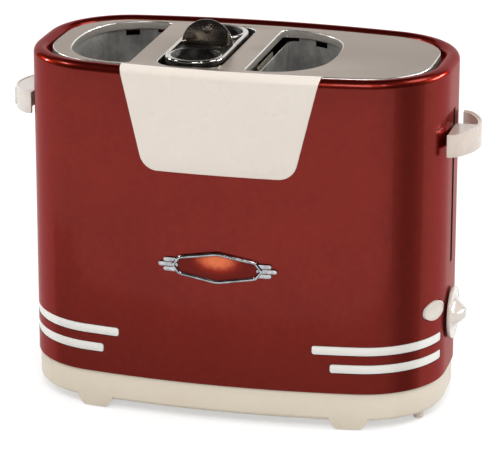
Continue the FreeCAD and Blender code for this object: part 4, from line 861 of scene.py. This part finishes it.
def makeBow(name, node, side, own, coat):
    # a bow with a deck across it; the hollow above the deck starts at openFrom
    level, half, near = own["level"], own["half"], bow["near"]
    low, high = level - bow["height"] / 2, level + bow["height"] / 2
    webTop = high - bow["webDrop"]
    piece = prism(name, bowOutline(side, 0, half), low, high, alongZ, coat)
    beyond = side * (near - bow["behind"])

    def hollow(inset):
        rim = bowOutline(side, inset, half)
        return [(beyond, rim[0][1])] + rim + [(beyond, rim[-1][1])]

    inner = hollow(bow["wall"])
    cut(piece, prism("under", inner, low - spare, webTop - bow["web"], alongZ, coat))
    cut(piece, prism("lip", hollow(bow["lip"]), high - bow["lipDrop"], high + spare, alongZ, coat))
    if own["openFrom"] < half:
        pocket = prism("pocket", inner, webTop, high + spare, alongZ, coat)
        inside, outside, past = bow["block"]
        ends = sorted([side * inside, side * outside])
        keep = boxCutter("keep", (ends[0], own["openFrom"], webTop - spare),
                         (ends[1], half + past, high + 2 * spare), coat)
        cut(piece, cut(pocket, keep, "INTERSECT"))
    ends = sorted([side * own["start"], side * (near + bow["reach"] - spare)])
    rise = bow["bossHeight"] / 2
    wide = own["boss"]
    boss = boxCutter("boss", (ends[0], -wide, level - rise), (ends[1], wide, level + rise), coat)
    cut(piece, boss, "UNION")
    rounded(piece, bow["edge"], 2, 40)
    return seated(smoothed(piece, 38), node)


makeBow("leverBow", "lever", 1, bow["lever"], finishes["ivory"])
makeBow("sideHandle", "side_handle", -1, bow["handle"], finishes["handle"])
print("lever and handle made")


knob = {"level": 0.062, "radius": 0.017, "back": 0.137, "skirt": 0.0024, "wing": 0.0154, "reach": 0.0074,
        "root": 0.0088, "ridge": 0.0019, "edge": 0.0007, "crown": 0.0005, "rings": 22, "spokes": 96,
        "chamfer": (0.0002, 0.0003)}


def makeKnob():
    # a thin skirt with a swept wing across it, as one height over a round face
    rings, spokes, level = knob["rings"], knob["spokes"], knob["level"]
    front = knob["back"] + knob["skirt"]
    small, large = knob["chamfer"]

    def height(y, z):
        along = max(1 - (abs(y) / knob["wing"]) ** 1.7, 0)
        across = max(1 - max(abs(z) - knob["ridge"], 0) / (knob["root"] * (0.35 + 0.65 * along)), 0)
        return knob["reach"] * along * (across * across * (3 - 2 * across) * 0.45 + across * 0.55)

    points = [(front + height(0, 0), 0, level)]
    for ring in range(1, rings + 1):
        reach = (knob["radius"] - knob["edge"]) * ring / rings
        crown = knob["crown"] * (1 - (reach / knob["radius"]) ** 2)
        for y, z in ringPoints((0, 0), reach, spokes):
            points.append((front + crown - knob["crown"] + height(y, z), y, level + z))
    sides = [(knob["radius"] - small, front - small), (knob["radius"], front - knob["edge"]),
             (knob["radius"], knob["back"] + large), (knob["radius"] - large, knob["back"])]
    for reach, x in sides:
        points += [(x, y, z) for y, z in ringPoints((0, level), reach, spokes)]
    faces = [(0, 1 + spoke, 1 + (spoke + 1) % spokes) for spoke in range(spokes)]
    faces += quadRows(rings + len(sides), spokes, start=1)
    faces.append(tuple(range(len(points) - 1, len(points) - spokes - 1, -1)))
    piece = solidPiece("timerKnob", points, faces, finishes["knob"])
    return seated(smoothed(piece, 50), "timer_knob")


makeKnob()
print("knob made")


basket = {"middle": -0.0255, "half": 0.0192, "tube": 0.030, "hole": 0.0156, "top": 0.231, "bead": 0.0013,
          "deck": 0.2290, "sheet": 0.0008, "ring": 0.0011, "skirt": 0.006, "tabY": 0.001, "tabRadius": 0.017,
          "tabSheet": 0.0008, "foot": 0.0132, "footWidth": 0.0058, "rivet": (0.240, 0.0034, 0.0007),
          "plateIn": 0.0006, "skirtWall": 0.0012, "band": (0.22, 0.24), "seam": 0.0001, "mouthOut": 0.0007,
          "mouthLift": 0.0008, "mouthSteps": 56, "tabEdge": 0.0003, "rivetGap": 0.00001, "rivetSteps": 32}


def stadium(inset, steps=28):
    # round ends about each tube
    half, middle, tube = basket["half"] - inset, basket["middle"], basket["tube"]
    far = arcPoints((middle, tube), half, 0, math.pi, steps)
    near = arcPoints((middle, -tube), half, math.pi, 2 * math.pi, steps)
    sides = [(middle + half, -tube + 2 * tube * step / 8) for step in range(1, 8)]
    return far + [(middle - half, y) for _, y in reversed(sides)] + near + sides


def beadAlong(name, outline, level, radius, coat, sides=14):
    piece = linkPiece(name, loopMesh(name, [(x, y, level) for x, y in outline]))
    return frameTube.grow(piece, Radius=radius, Sides=sides, Material=coat)


def makeBasketTop():
    chrome = finishes["chrome"]
    bead, deck, sheet = basket["bead"], basket["deck"], basket["sheet"]
    seam, (below, above) = basket["seam"], basket["band"]
    plate = prism("basketTop", stadium(basket["plateIn"]), deck - sheet, deck, alongZ, chrome)
    skirt = prism("skirt", stadium(0.0), basket["top"] - basket["skirt"], deck - seam, alongZ, chrome)
    cut(skirt, prism("inside", stadium(basket["skirtWall"]), below, deck + spare, alongZ, chrome))
    rings = [beadAlong("rim", stadium(bead), basket["top"] - bead, bead, chrome)]
    for side in (-1, 1):
        centre, hole, steps = (basket["middle"], side * basket["tube"]), basket["hole"], basket["mouthSteps"]
        cut(plate, prism("mouth", ringPoints(centre, hole, steps), below, above, alongZ, chrome))
        ring = ringPoints(centre, hole + basket["mouthOut"], steps)
        rings.append(beadAlong("mouthRing", ring, deck + basket["mouthLift"], basket["ring"], chrome))
    joined(plate, skirt, *rings)
    tidyMesh(plate.data)
    return seated(smoothed(coated(plate, chrome), 45), "basket_frame")


def makeTab():
    dark = finishes["tab"]
    y, sheet, deck, radius = basket["tabY"], basket["tabSheet"], basket["deck"], basket["tabRadius"]
    middle = basket["middle"]
    outline = arcPoints((-middle, deck), radius, 0, math.pi, 48)
    tab = prism("basketTab", outline, y - sheet, y, alongY, dark)
    half = basket["foot"]
    low, high = (middle - half, y - basket["footWidth"], deck), (middle + half, y, deck + sheet)
    foot = boxCutter("foot", low, high, dark)
    cut(tab, foot, "UNION")
    rounded(tab, basket["tabEdge"], 2, 40)
    seated(smoothed(tab, 40), "basket_tab")
    level, radius, proud = basket["rivet"]
    turned = [(0, proud), (radius * 0.45, proud), (radius * 0.5, proud * 0.55), (radius * 0.62, proud * 0.6),
              (radius * 0.78, proud * 0.95), (radius * 0.95, proud * 0.6), (radius, 0)]
    gap, count = basket["rivetGap"], basket["rivetSteps"]
    rows = [(reach, y - sheet - gap - rise) for reach, rise in turned]
    rows += [(reach, y + gap + rise) for reach, rise in reversed(turned)]
    points = [(x, depth, z) for reach, depth in rows for x, z in ringPoints((middle, level), reach, count)]
    rivet = solidPiece("tabRivet", points, quadRows(len(rows), count), dark)
    return seated(smoothed(rivet, 40), "tab_rivet")


makeBasketTop()
makeTab()
print("basket top and tab made")


ribbon = {"bay": -0.0255, "offset": 0.031, "board": 0.001, "sheet": 0.0004, "near": 0.008, "far": 0.049,
          "first": 0.046, "pitch": 0.014, "count": 12, "height": 0.0024,
          "slack": 0.00002, "sheetShare": 0.95}


def windingGraph():
    # one flat turn, repeated up the board
    graph = Graph("ribbonWinding", Width="Float", Depth="Float", Height="Float", Sheet="Float", Pitch="Float",
                  Turns="Int", Material="Material")
    height, sheet = graph.given("Height"), graph.given("Sheet")
    loop = graph.add("GeometryNodeCurvePrimitiveQuadrilateral", Width=graph.given("Width") + sheet,
                     Height=graph.given("Depth") + sheet)
    loop = graph.add("GeometryNodeFilletCurve", {"mode": "POLY"}, Curve=loop, Count=3, Radius=sheet)
    band = graph.add("GeometryNodeCurvePrimitiveQuadrilateral", Width=sheet, Height=height)
    turn = graph.add("GeometryNodeCurveToMesh", Curve=loop, Profile_Curve=band)
    spots = graph.add("GeometryNodeMeshLine", Count=graph.given("Turns"),
                      Offset=graph.vector(0, 0, graph.given("Pitch")))
    stack = graph.add("GeometryNodeInstanceOnPoints", Points=spots, Instance=turn)
    boards = graph.add("GeometryNodeInstanceOnPoints", Points=graph.given("Geometry"), Instance=stack)
    return graph.finish(boards)


def makeRibbons():
    winding = windingGraph()
    for label, side in (("left", -1), ("right", 1)):
        x = ribbon["bay"] + side * ribbon["offset"]
        level = ribbon["first"] + ribbon["height"] / 2
        middle = (ribbon["near"] + ribbon["far"]) / 2
        spots = meshFrom(f"ribbons_{label}", [(x, -middle, level), (x, middle, level)])
        piece = linkPiece(f"ribbons_{label}", spots)
        deep = ribbon["far"] - ribbon["near"]
        winding.grow(piece, Width=ribbon["board"] + ribbon["slack"], Depth=deep + ribbon["slack"],
                     Height=ribbon["height"], Sheet=ribbon["sheet"] * ribbon["sheetShare"],
                     Pitch=ribbon["pitch"], Turns=ribbon["count"], Material=finishes["ribbon"])
        tidyMesh(piece.data)
        seated(smoothed(piece, 40), f"heating_ribbons_{label}")


makeRibbons()
print("heating ribbons made")


screws = {"posts": (0.066, 0.055), "foot": 0.006, "floorTop": 0.0276, "head": 0.003, "headHeight": 0.0016,
          "shank": 0.0015, "slotWidth": 0.0007, "slotDepth": 0.0008, "sides": (28, 20), "armReach": 1.3,
          "handleSide": 0.007, "handleLevel": 0.1895, "handleSeat": 0.00009, "handleLength": 0.009}


def screwGraph():
    # a pan head with a cross recess, and its shank, at each point; the head faces down the screw's Z
    graph = Graph("crossScrew", Head="Float", HeadHeight="Float", Shank="Float", Length="Float",
                  SlotWidth="Float", SlotDepth="Float", Turn="Float", Material="Material")
    high, length = graph.given("HeadHeight"), graph.given("Length")
    cylinder, (headSides, shankSides) = "GeometryNodeMeshCylinder", screws["sides"]
    head = graph.add(cylinder, Vertices=headSides, Radius=graph.given("Head"), Depth=high)
    head = graph.add("GeometryNodeTransform", Geometry=head, Translation=graph.vector(0, 0, high * 0.5))
    arms = []
    reach = graph.given("Head") * screws["armReach"]
    for pair in ((reach, graph.given("SlotWidth")), (graph.given("SlotWidth"), reach)):
        size = graph.vector(*pair, graph.given("SlotDepth") * 2)
        arms.append(graph.add("GeometryNodeMeshCube", Size=size))
    tool = "GeometryNodeMeshBoolean"
    cross = graph.add(tool, {"operation": "UNION"}, Mesh=arms)
    head = graph.add(tool, {"operation": "DIFFERENCE"}, Mesh_1=head, Mesh_2=cross)
    shank = graph.add(cylinder, Vertices=shankSides, Radius=graph.given("Shank"), Depth=length)
    middle = graph.vector(0, 0, high + length * 0.5)
    shank = graph.add("GeometryNodeTransform", Geometry=shank, Translation=middle)
    screw = graph.add("GeometryNodeJoinGeometry", Geometry=[head, shank])
    turned = graph.vector(0, graph.given("Turn"), 0)
    return graph.finish(graph.add("GeometryNodeInstanceOnPoints", Points=graph.given("Geometry"),
                                  Instance=screw, Rotation=turned))


def makeScrews():
    screw = screwGraph()
    x, y = screws["posts"]
    spots = [(a * x, b * y, screws["foot"]) for a in (-1, 1) for b in (-1, 1)]
    piece = linkPiece("baseScrews", meshFrom("baseScrews", spots))
    levels = {"Head": screws["head"], "HeadHeight": screws["headHeight"], "Shank": screws["shank"],
              "SlotWidth": screws["slotWidth"], "SlotDepth": screws["slotDepth"],
              "Material": finishes["steel"]}
    length = screws["floorTop"] - screws["foot"] - screws["headHeight"]
    screw.grow(piece, Length=length, Turn=0.0, **levels)
    seated(smoothed(piece, 40), "base_screws")
    inside = shell["wall"] - plan["halfLength"] + screws["handleSeat"] + screws["headHeight"]
    spots = [(inside, side * screws["handleSide"], screws["handleLevel"]) for side in (-1, 1)]
    piece = linkPiece("handleScrews", meshFrom("handleScrews", spots))
    screw.grow(piece, Length=screws["handleLength"], Turn=-math.pi / 2, **levels)
    seated(smoothed(piece, 40), "handle_screws")


makeScrews()
print("screws made")


flatTurn = 0.6       # faces that turn less than this, in degrees, are one


def dressNode(name, coat, edge):
    mesh = frame["nodes"][name].data.copy()
    work = bmesh.new()
    work.from_mesh(mesh)
    bmesh.ops.remove_doubles(work, verts=work.verts, dist=weld)
    if edge:
        bmesh.ops.dissolve_limit(work, angle_limit=math.radians(flatTurn), verts=work.verts, edges=work.edges,
                                 delimit={"NORMAL"})
    work.to_mesh(mesh)
    work.free()
    piece = coated(linkPiece(name + "_skin", mesh), coat)
    if edge:
        rounded(piece, edge)
    return seated(smoothed(piece), name)


dressed = {
    "base": ("base", 0.0006), "crumb_tray_front": ("base", 0.0004), "foot_pads": ("rubber", 0.0003),
    "top_plate": ("plate", 0.0007),
    # the tubes take the dark tube finish as painted shade
    "basket_tube_front": ("tube", 0.0001), "basket_tube_rear": ("tube", 0.0001),
    "stop_button": ("knob", 0.0004),
    "bun_well_left": ("well", 0), "bun_well_right": ("well", 0), "sausage_well": ("well", 0),
    "bun_lift_left": ("zinc", 0.0002), "bun_lift_right": ("zinc", 0.0002), "basket_rest": ("zinc", 0.0002),
    "lift_bar": ("zinc", 0.0002), "carriage_slider": ("zinc", 0.0003), "lever_arm": ("zinc", 0.0002),
    "guide_rods": ("steel", 0.0002), "keeper": ("zinc", 0.0002), "chassis_floor": ("zinc", 0.0001),
    "chassis_wall_left": ("zinc", 0.0001), "chassis_wall_right": ("zinc", 0.0001),
    "heater_boards_left": ("mica", 0.0001), "heater_boards_right": ("mica", 0.0001),
    "magnet_core": ("steel", 0.0003), "magnet_coil": ("copper", 0.0003), "timer_body": ("zinc", 0.0004),
    "timer_bracket": ("zinc", 0.0002), "timer_shaft": ("steel", 0.0003), "circuit_board": ("board", 0.0001),
    "circuit_components": ("black", 0.0004), "stop_switch": ("black", 0.0003),
    "terminal_block": ("ivory", 0.0004), "cord_gland": ("rubber", 0.0003), "crumb_tray": ("zinc", 0.0001),
}
for nodeName, (finishName, edgeWidth) in dressed.items():
    dressNode(nodeName, finishes[finishName], edgeWidth)


def recoat(name, coat, chosen):
    # a further finish on the faces that the rule picks
    mesh = bpy.data.objects[name].data
    mesh.materials.append(coat)
    for face in mesh.polygons:
        if chosen(face.normal, face.center):
            face.material_index = len(mesh.materials) - 1


rules = {"upright": 0.3, "bevel": (0.2, 0.96), "flat": 0.9, "edgeDrop": 0.0007, "basketReach": 0.034,
         "windowLevel": 0.15}
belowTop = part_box("top_plate")[1][2] - rules["edgeDrop"]


# the plate's downturned lips, which take the lighter lip finish as painted light
def onLip(normal, spot):
    return abs(normal.z) < rules["upright"] and spot.z < belowTop


# the lip round the basket opening, painted black as painted shade
def onBasketLip(normal, spot):
    return onLip(normal, spot) and abs(spot.x - basket["middle"]) < rules["basketReach"]


# the plate's bevels, which take a painted highlight
def onPlateEdge(normal, spot):
    return rules["bevel"][0] < normal.z < rules["bevel"][1] and spot.z > belowTop


# the wells' flat upper edges, which take a painted highlight
def onWellEdge(normal, spot):
    return normal.z > rules["flat"] and spot.z > rules["windowLevel"]


# the deck sunk inside the ring, which takes the dark tube finish as painted shade
def onDeck(normal, spot):
    return spot.z < basket["deck"] + basket["seam"]


for pieceName, finishName, rule in (
    ("top_plate_skin", "lip", onLip), ("top_plate_skin", "black", onBasketLip),
    ("top_plate_skin", "edgeHighlight", onPlateEdge), ("bun_well_left_skin", "edgeHighlight", onWellEdge),
    ("bun_well_right_skin", "edgeHighlight", onWellEdge), ("basketTop", "tube", onDeck),
):
    recoat(pieceName, finishes[finishName], rule)
coated(frame["nodes"]["return_spring"], finishes["steel"])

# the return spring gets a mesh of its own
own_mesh(frame["nodes"]["return_spring"])
print("packed solids dressed:", len(dressed))


studio = {
    "floorSize": 8.0, "floorColour": (0.62, 0.62, 0.62), "floorGlow": 0.50, "worldLevel": 0.74,
    "lamps": {
        "key": {"spot": (0.35, -1.55, 1.65), "size": 0.7, "power": 12, "glossOnly": False},
        "left": {"spot": (-1.5, -0.35, 1.45), "size": 0.35, "power": 5, "glossOnly": False},
        "right": {"spot": (1.35, 0.35, 1.55), "size": 0.8, "power": 9, "glossOnly": False},
        "leftGlint": {"spot": (-2.25, 0.26, 0.69), "size": 0.22, "tall": 0.4, "power": 13, "glossOnly": True},
        "cornerGlint": {"spot": (1.1, -1.25, 1.79), "size": 0.16, "tall": 0.4, "power": 4, "glossOnly": True},
        "rightGlint": {"spot": (1.89, 1.20, 0.69), "size": 1.2, "tall": 0.25, "power": 30, "glossOnly": True},
    },
    "aim": (0, 0, 0.12),
    "tent": {"radius": 2.9, "open": (150, 235), "roofFrom": 40, "columns": 72, "rows": 18,
             "colour": (0.035, 0.032, 0.031)},
    "flags": {
        "corner": {"level": 0.0008, "colour": (0.47, 0.455, 0.45),
                   "spots": [(0.110, -0.060), (1.95, -1.60), (2.51, 0.21), (0.125, -0.045)]},
        "cornerHeart": {"level": 0.0011, "colour": (0.33, 0.32, 0.315),
                        "spots": [(0.114, -0.057), (2.19, -1.26), (2.52, -0.22), (0.123, -0.049)]},
        "apron": {"level": 0.0005, "colour": (0.66, 0.65, 0.645),
                  "spots": [(-0.5, -0.06), (-0.4, -0.27), (0.5, -0.27), (0.5, -0.06)]},
    },
}


def makeWorld():
    # light falls at the plain level; what the camera and the gloss see of it is white
    world = bpy.data.worlds.new("studio")
    scene.world = world
    world.use_nodes = True
    tree, level = world.node_tree, studio["worldLevel"]
    sockets = tree.nodes["Background"].inputs
    feed(tree, sockets["Color"], (1, 1, 1))
    feed(tree, sockets["Strength"], whiteWhereSeen(tree) * (1 - level) + level)


def whiteWhereSeen(tree):
    # one where the camera, a gloss or a glass looks
    camera = addNode(tree, "ShaderNodeLightPath", out="Is Camera Ray")
    return (camera + camera.beside("Is Glossy Ray") + camera.beside("Is Transmission Ray")).least(1)


def makeFloor():
    half = studio["floorSize"] / 2
    corners = [(-half, -half, 0), (half, -half, 0), (half, half, 0), (-half, half, 0)]
    floor = linkPiece("floor", meshFrom("floor", corners, [(0, 1, 2, 3)]))
    finish = Finish("floorPaper", color=studio["floorColour"], rough=0.9, specular=0.0)
    tree = finish.tree
    glow = addNode(tree, "ShaderNodeEmission", Strength=whiteWhereSeen(tree) * studio["floorGlow"])
    both = addNode(tree, "ShaderNodeAddShader", (), Wire(tree, finish.shader.outputs[0]), glow)
    feed(tree, tree.nodes["Material Output"].inputs["Surface"], both)
    coated(floor, finish.material)


def stageCloth(name, points, faces, colour):
    # dark studio cloth that only the gloss sees
    cloth = linkPiece(name, meshFrom(name, points, faces))
    coated(cloth, Finish(name, color=colour, rough=0.9, specular=0.0).material)
    for ray in ("camera", "diffuse", "transmission", "volume_scatter", "shadow"):
        setattr(cloth, f"visible_{ray}", False)


def makeTent():
    # walls in front and at the sides, open behind, and a roof over all
    tent = studio["tent"]
    columns, rows = tent["columns"], tent["rows"]
    points, faces = [], []
    for row in range(rows + 1):
        lift = math.radians(90 * row / rows)
        for column in range(columns):
            turn = math.radians(360 * column / columns - 90)
            across, up = tent["radius"] * math.cos(lift), tent["radius"] * math.sin(lift)
            points.append((across * math.cos(turn), across * math.sin(turn), up))
    for row in range(rows):
        for column in range(columns):
            aside = 360 * (column + 0.5) / columns
            if 90 * (row + 0.5) / rows < tent["roofFrom"] and tent["open"][0] < aside < tent["open"][1]:
                continue
            start, beside = row * columns, (column + 1) % columns
            faces.append((start + column, start + beside, start + columns + beside, start + columns + column))
    stageCloth("studioTent", points, faces, tent["colour"])
    for name, flag in studio["flags"].items():
        points = [(x, y, flag["level"]) for x, y in flag["spots"]]
        stageCloth("studioFlag." + name, points, [(0, 1, 2, 3)], flag["colour"])


def makeLamp(name, level):
    lamp = bpy.data.lights.new(name, "AREA")
    lamp.shape = "ELLIPSE"
    lamp.size = level["size"]
    lamp.size_y = level.get("tall", level["size"])
    lamp.energy = level["power"]
    holder = bpy.data.objects.new(name, lamp)
    scene.collection.objects.link(holder)
    holder.location = level["spot"]
    holder.visible_diffuse = not level["glossOnly"]
    aim = Vector(studio["aim"]) - holder.location
    holder.rotation_euler = aim.to_track_quat("-Z", "Y").to_euler()


def makeCamera():
    view = {"turn": 14.207, "lift": 17.668, "distance": 1.9645, "aim": (0, 0, 0.1275),
            "heading": 14.122, "pitch": 18.152, "lens": 217.69, "roll": 0.0019,
            "sensor": 36, "farClip": 20}
    lens = bpy.data.cameras.new("camera")
    lens.lens = view["lens"]
    lens.sensor_width = view["sensor"]
    lens.clip_end = view["farClip"]
    holder = bpy.data.objects.new("camera", lens)
    scene.collection.objects.link(holder)

    def away(turn, lift):
        turn, lift = math.radians(turn), math.radians(lift)
        return Vector((math.sin(turn) * math.cos(lift), -math.cos(turn) * math.cos(lift), math.sin(lift)))

    holder.location = Vector(view["aim"]) + away(view["turn"], view["lift"]) * view["distance"]
    look = (-away(view["heading"], view["pitch"])).to_track_quat("-Z", "Y")
    holder.rotation_euler = (look @ Matrix.Rotation(view["roll"], 3, "Z").to_quaternion()).to_euler()
    scene.camera = holder


makeWorld()
makeFloor()
makeTent()
for lampName, lampLevel in studio["lamps"].items():
    makeLamp(lampName, lampLevel)
makeCamera()
scene.view_settings.view_transform = "Standard"
print("floor, light and camera set")
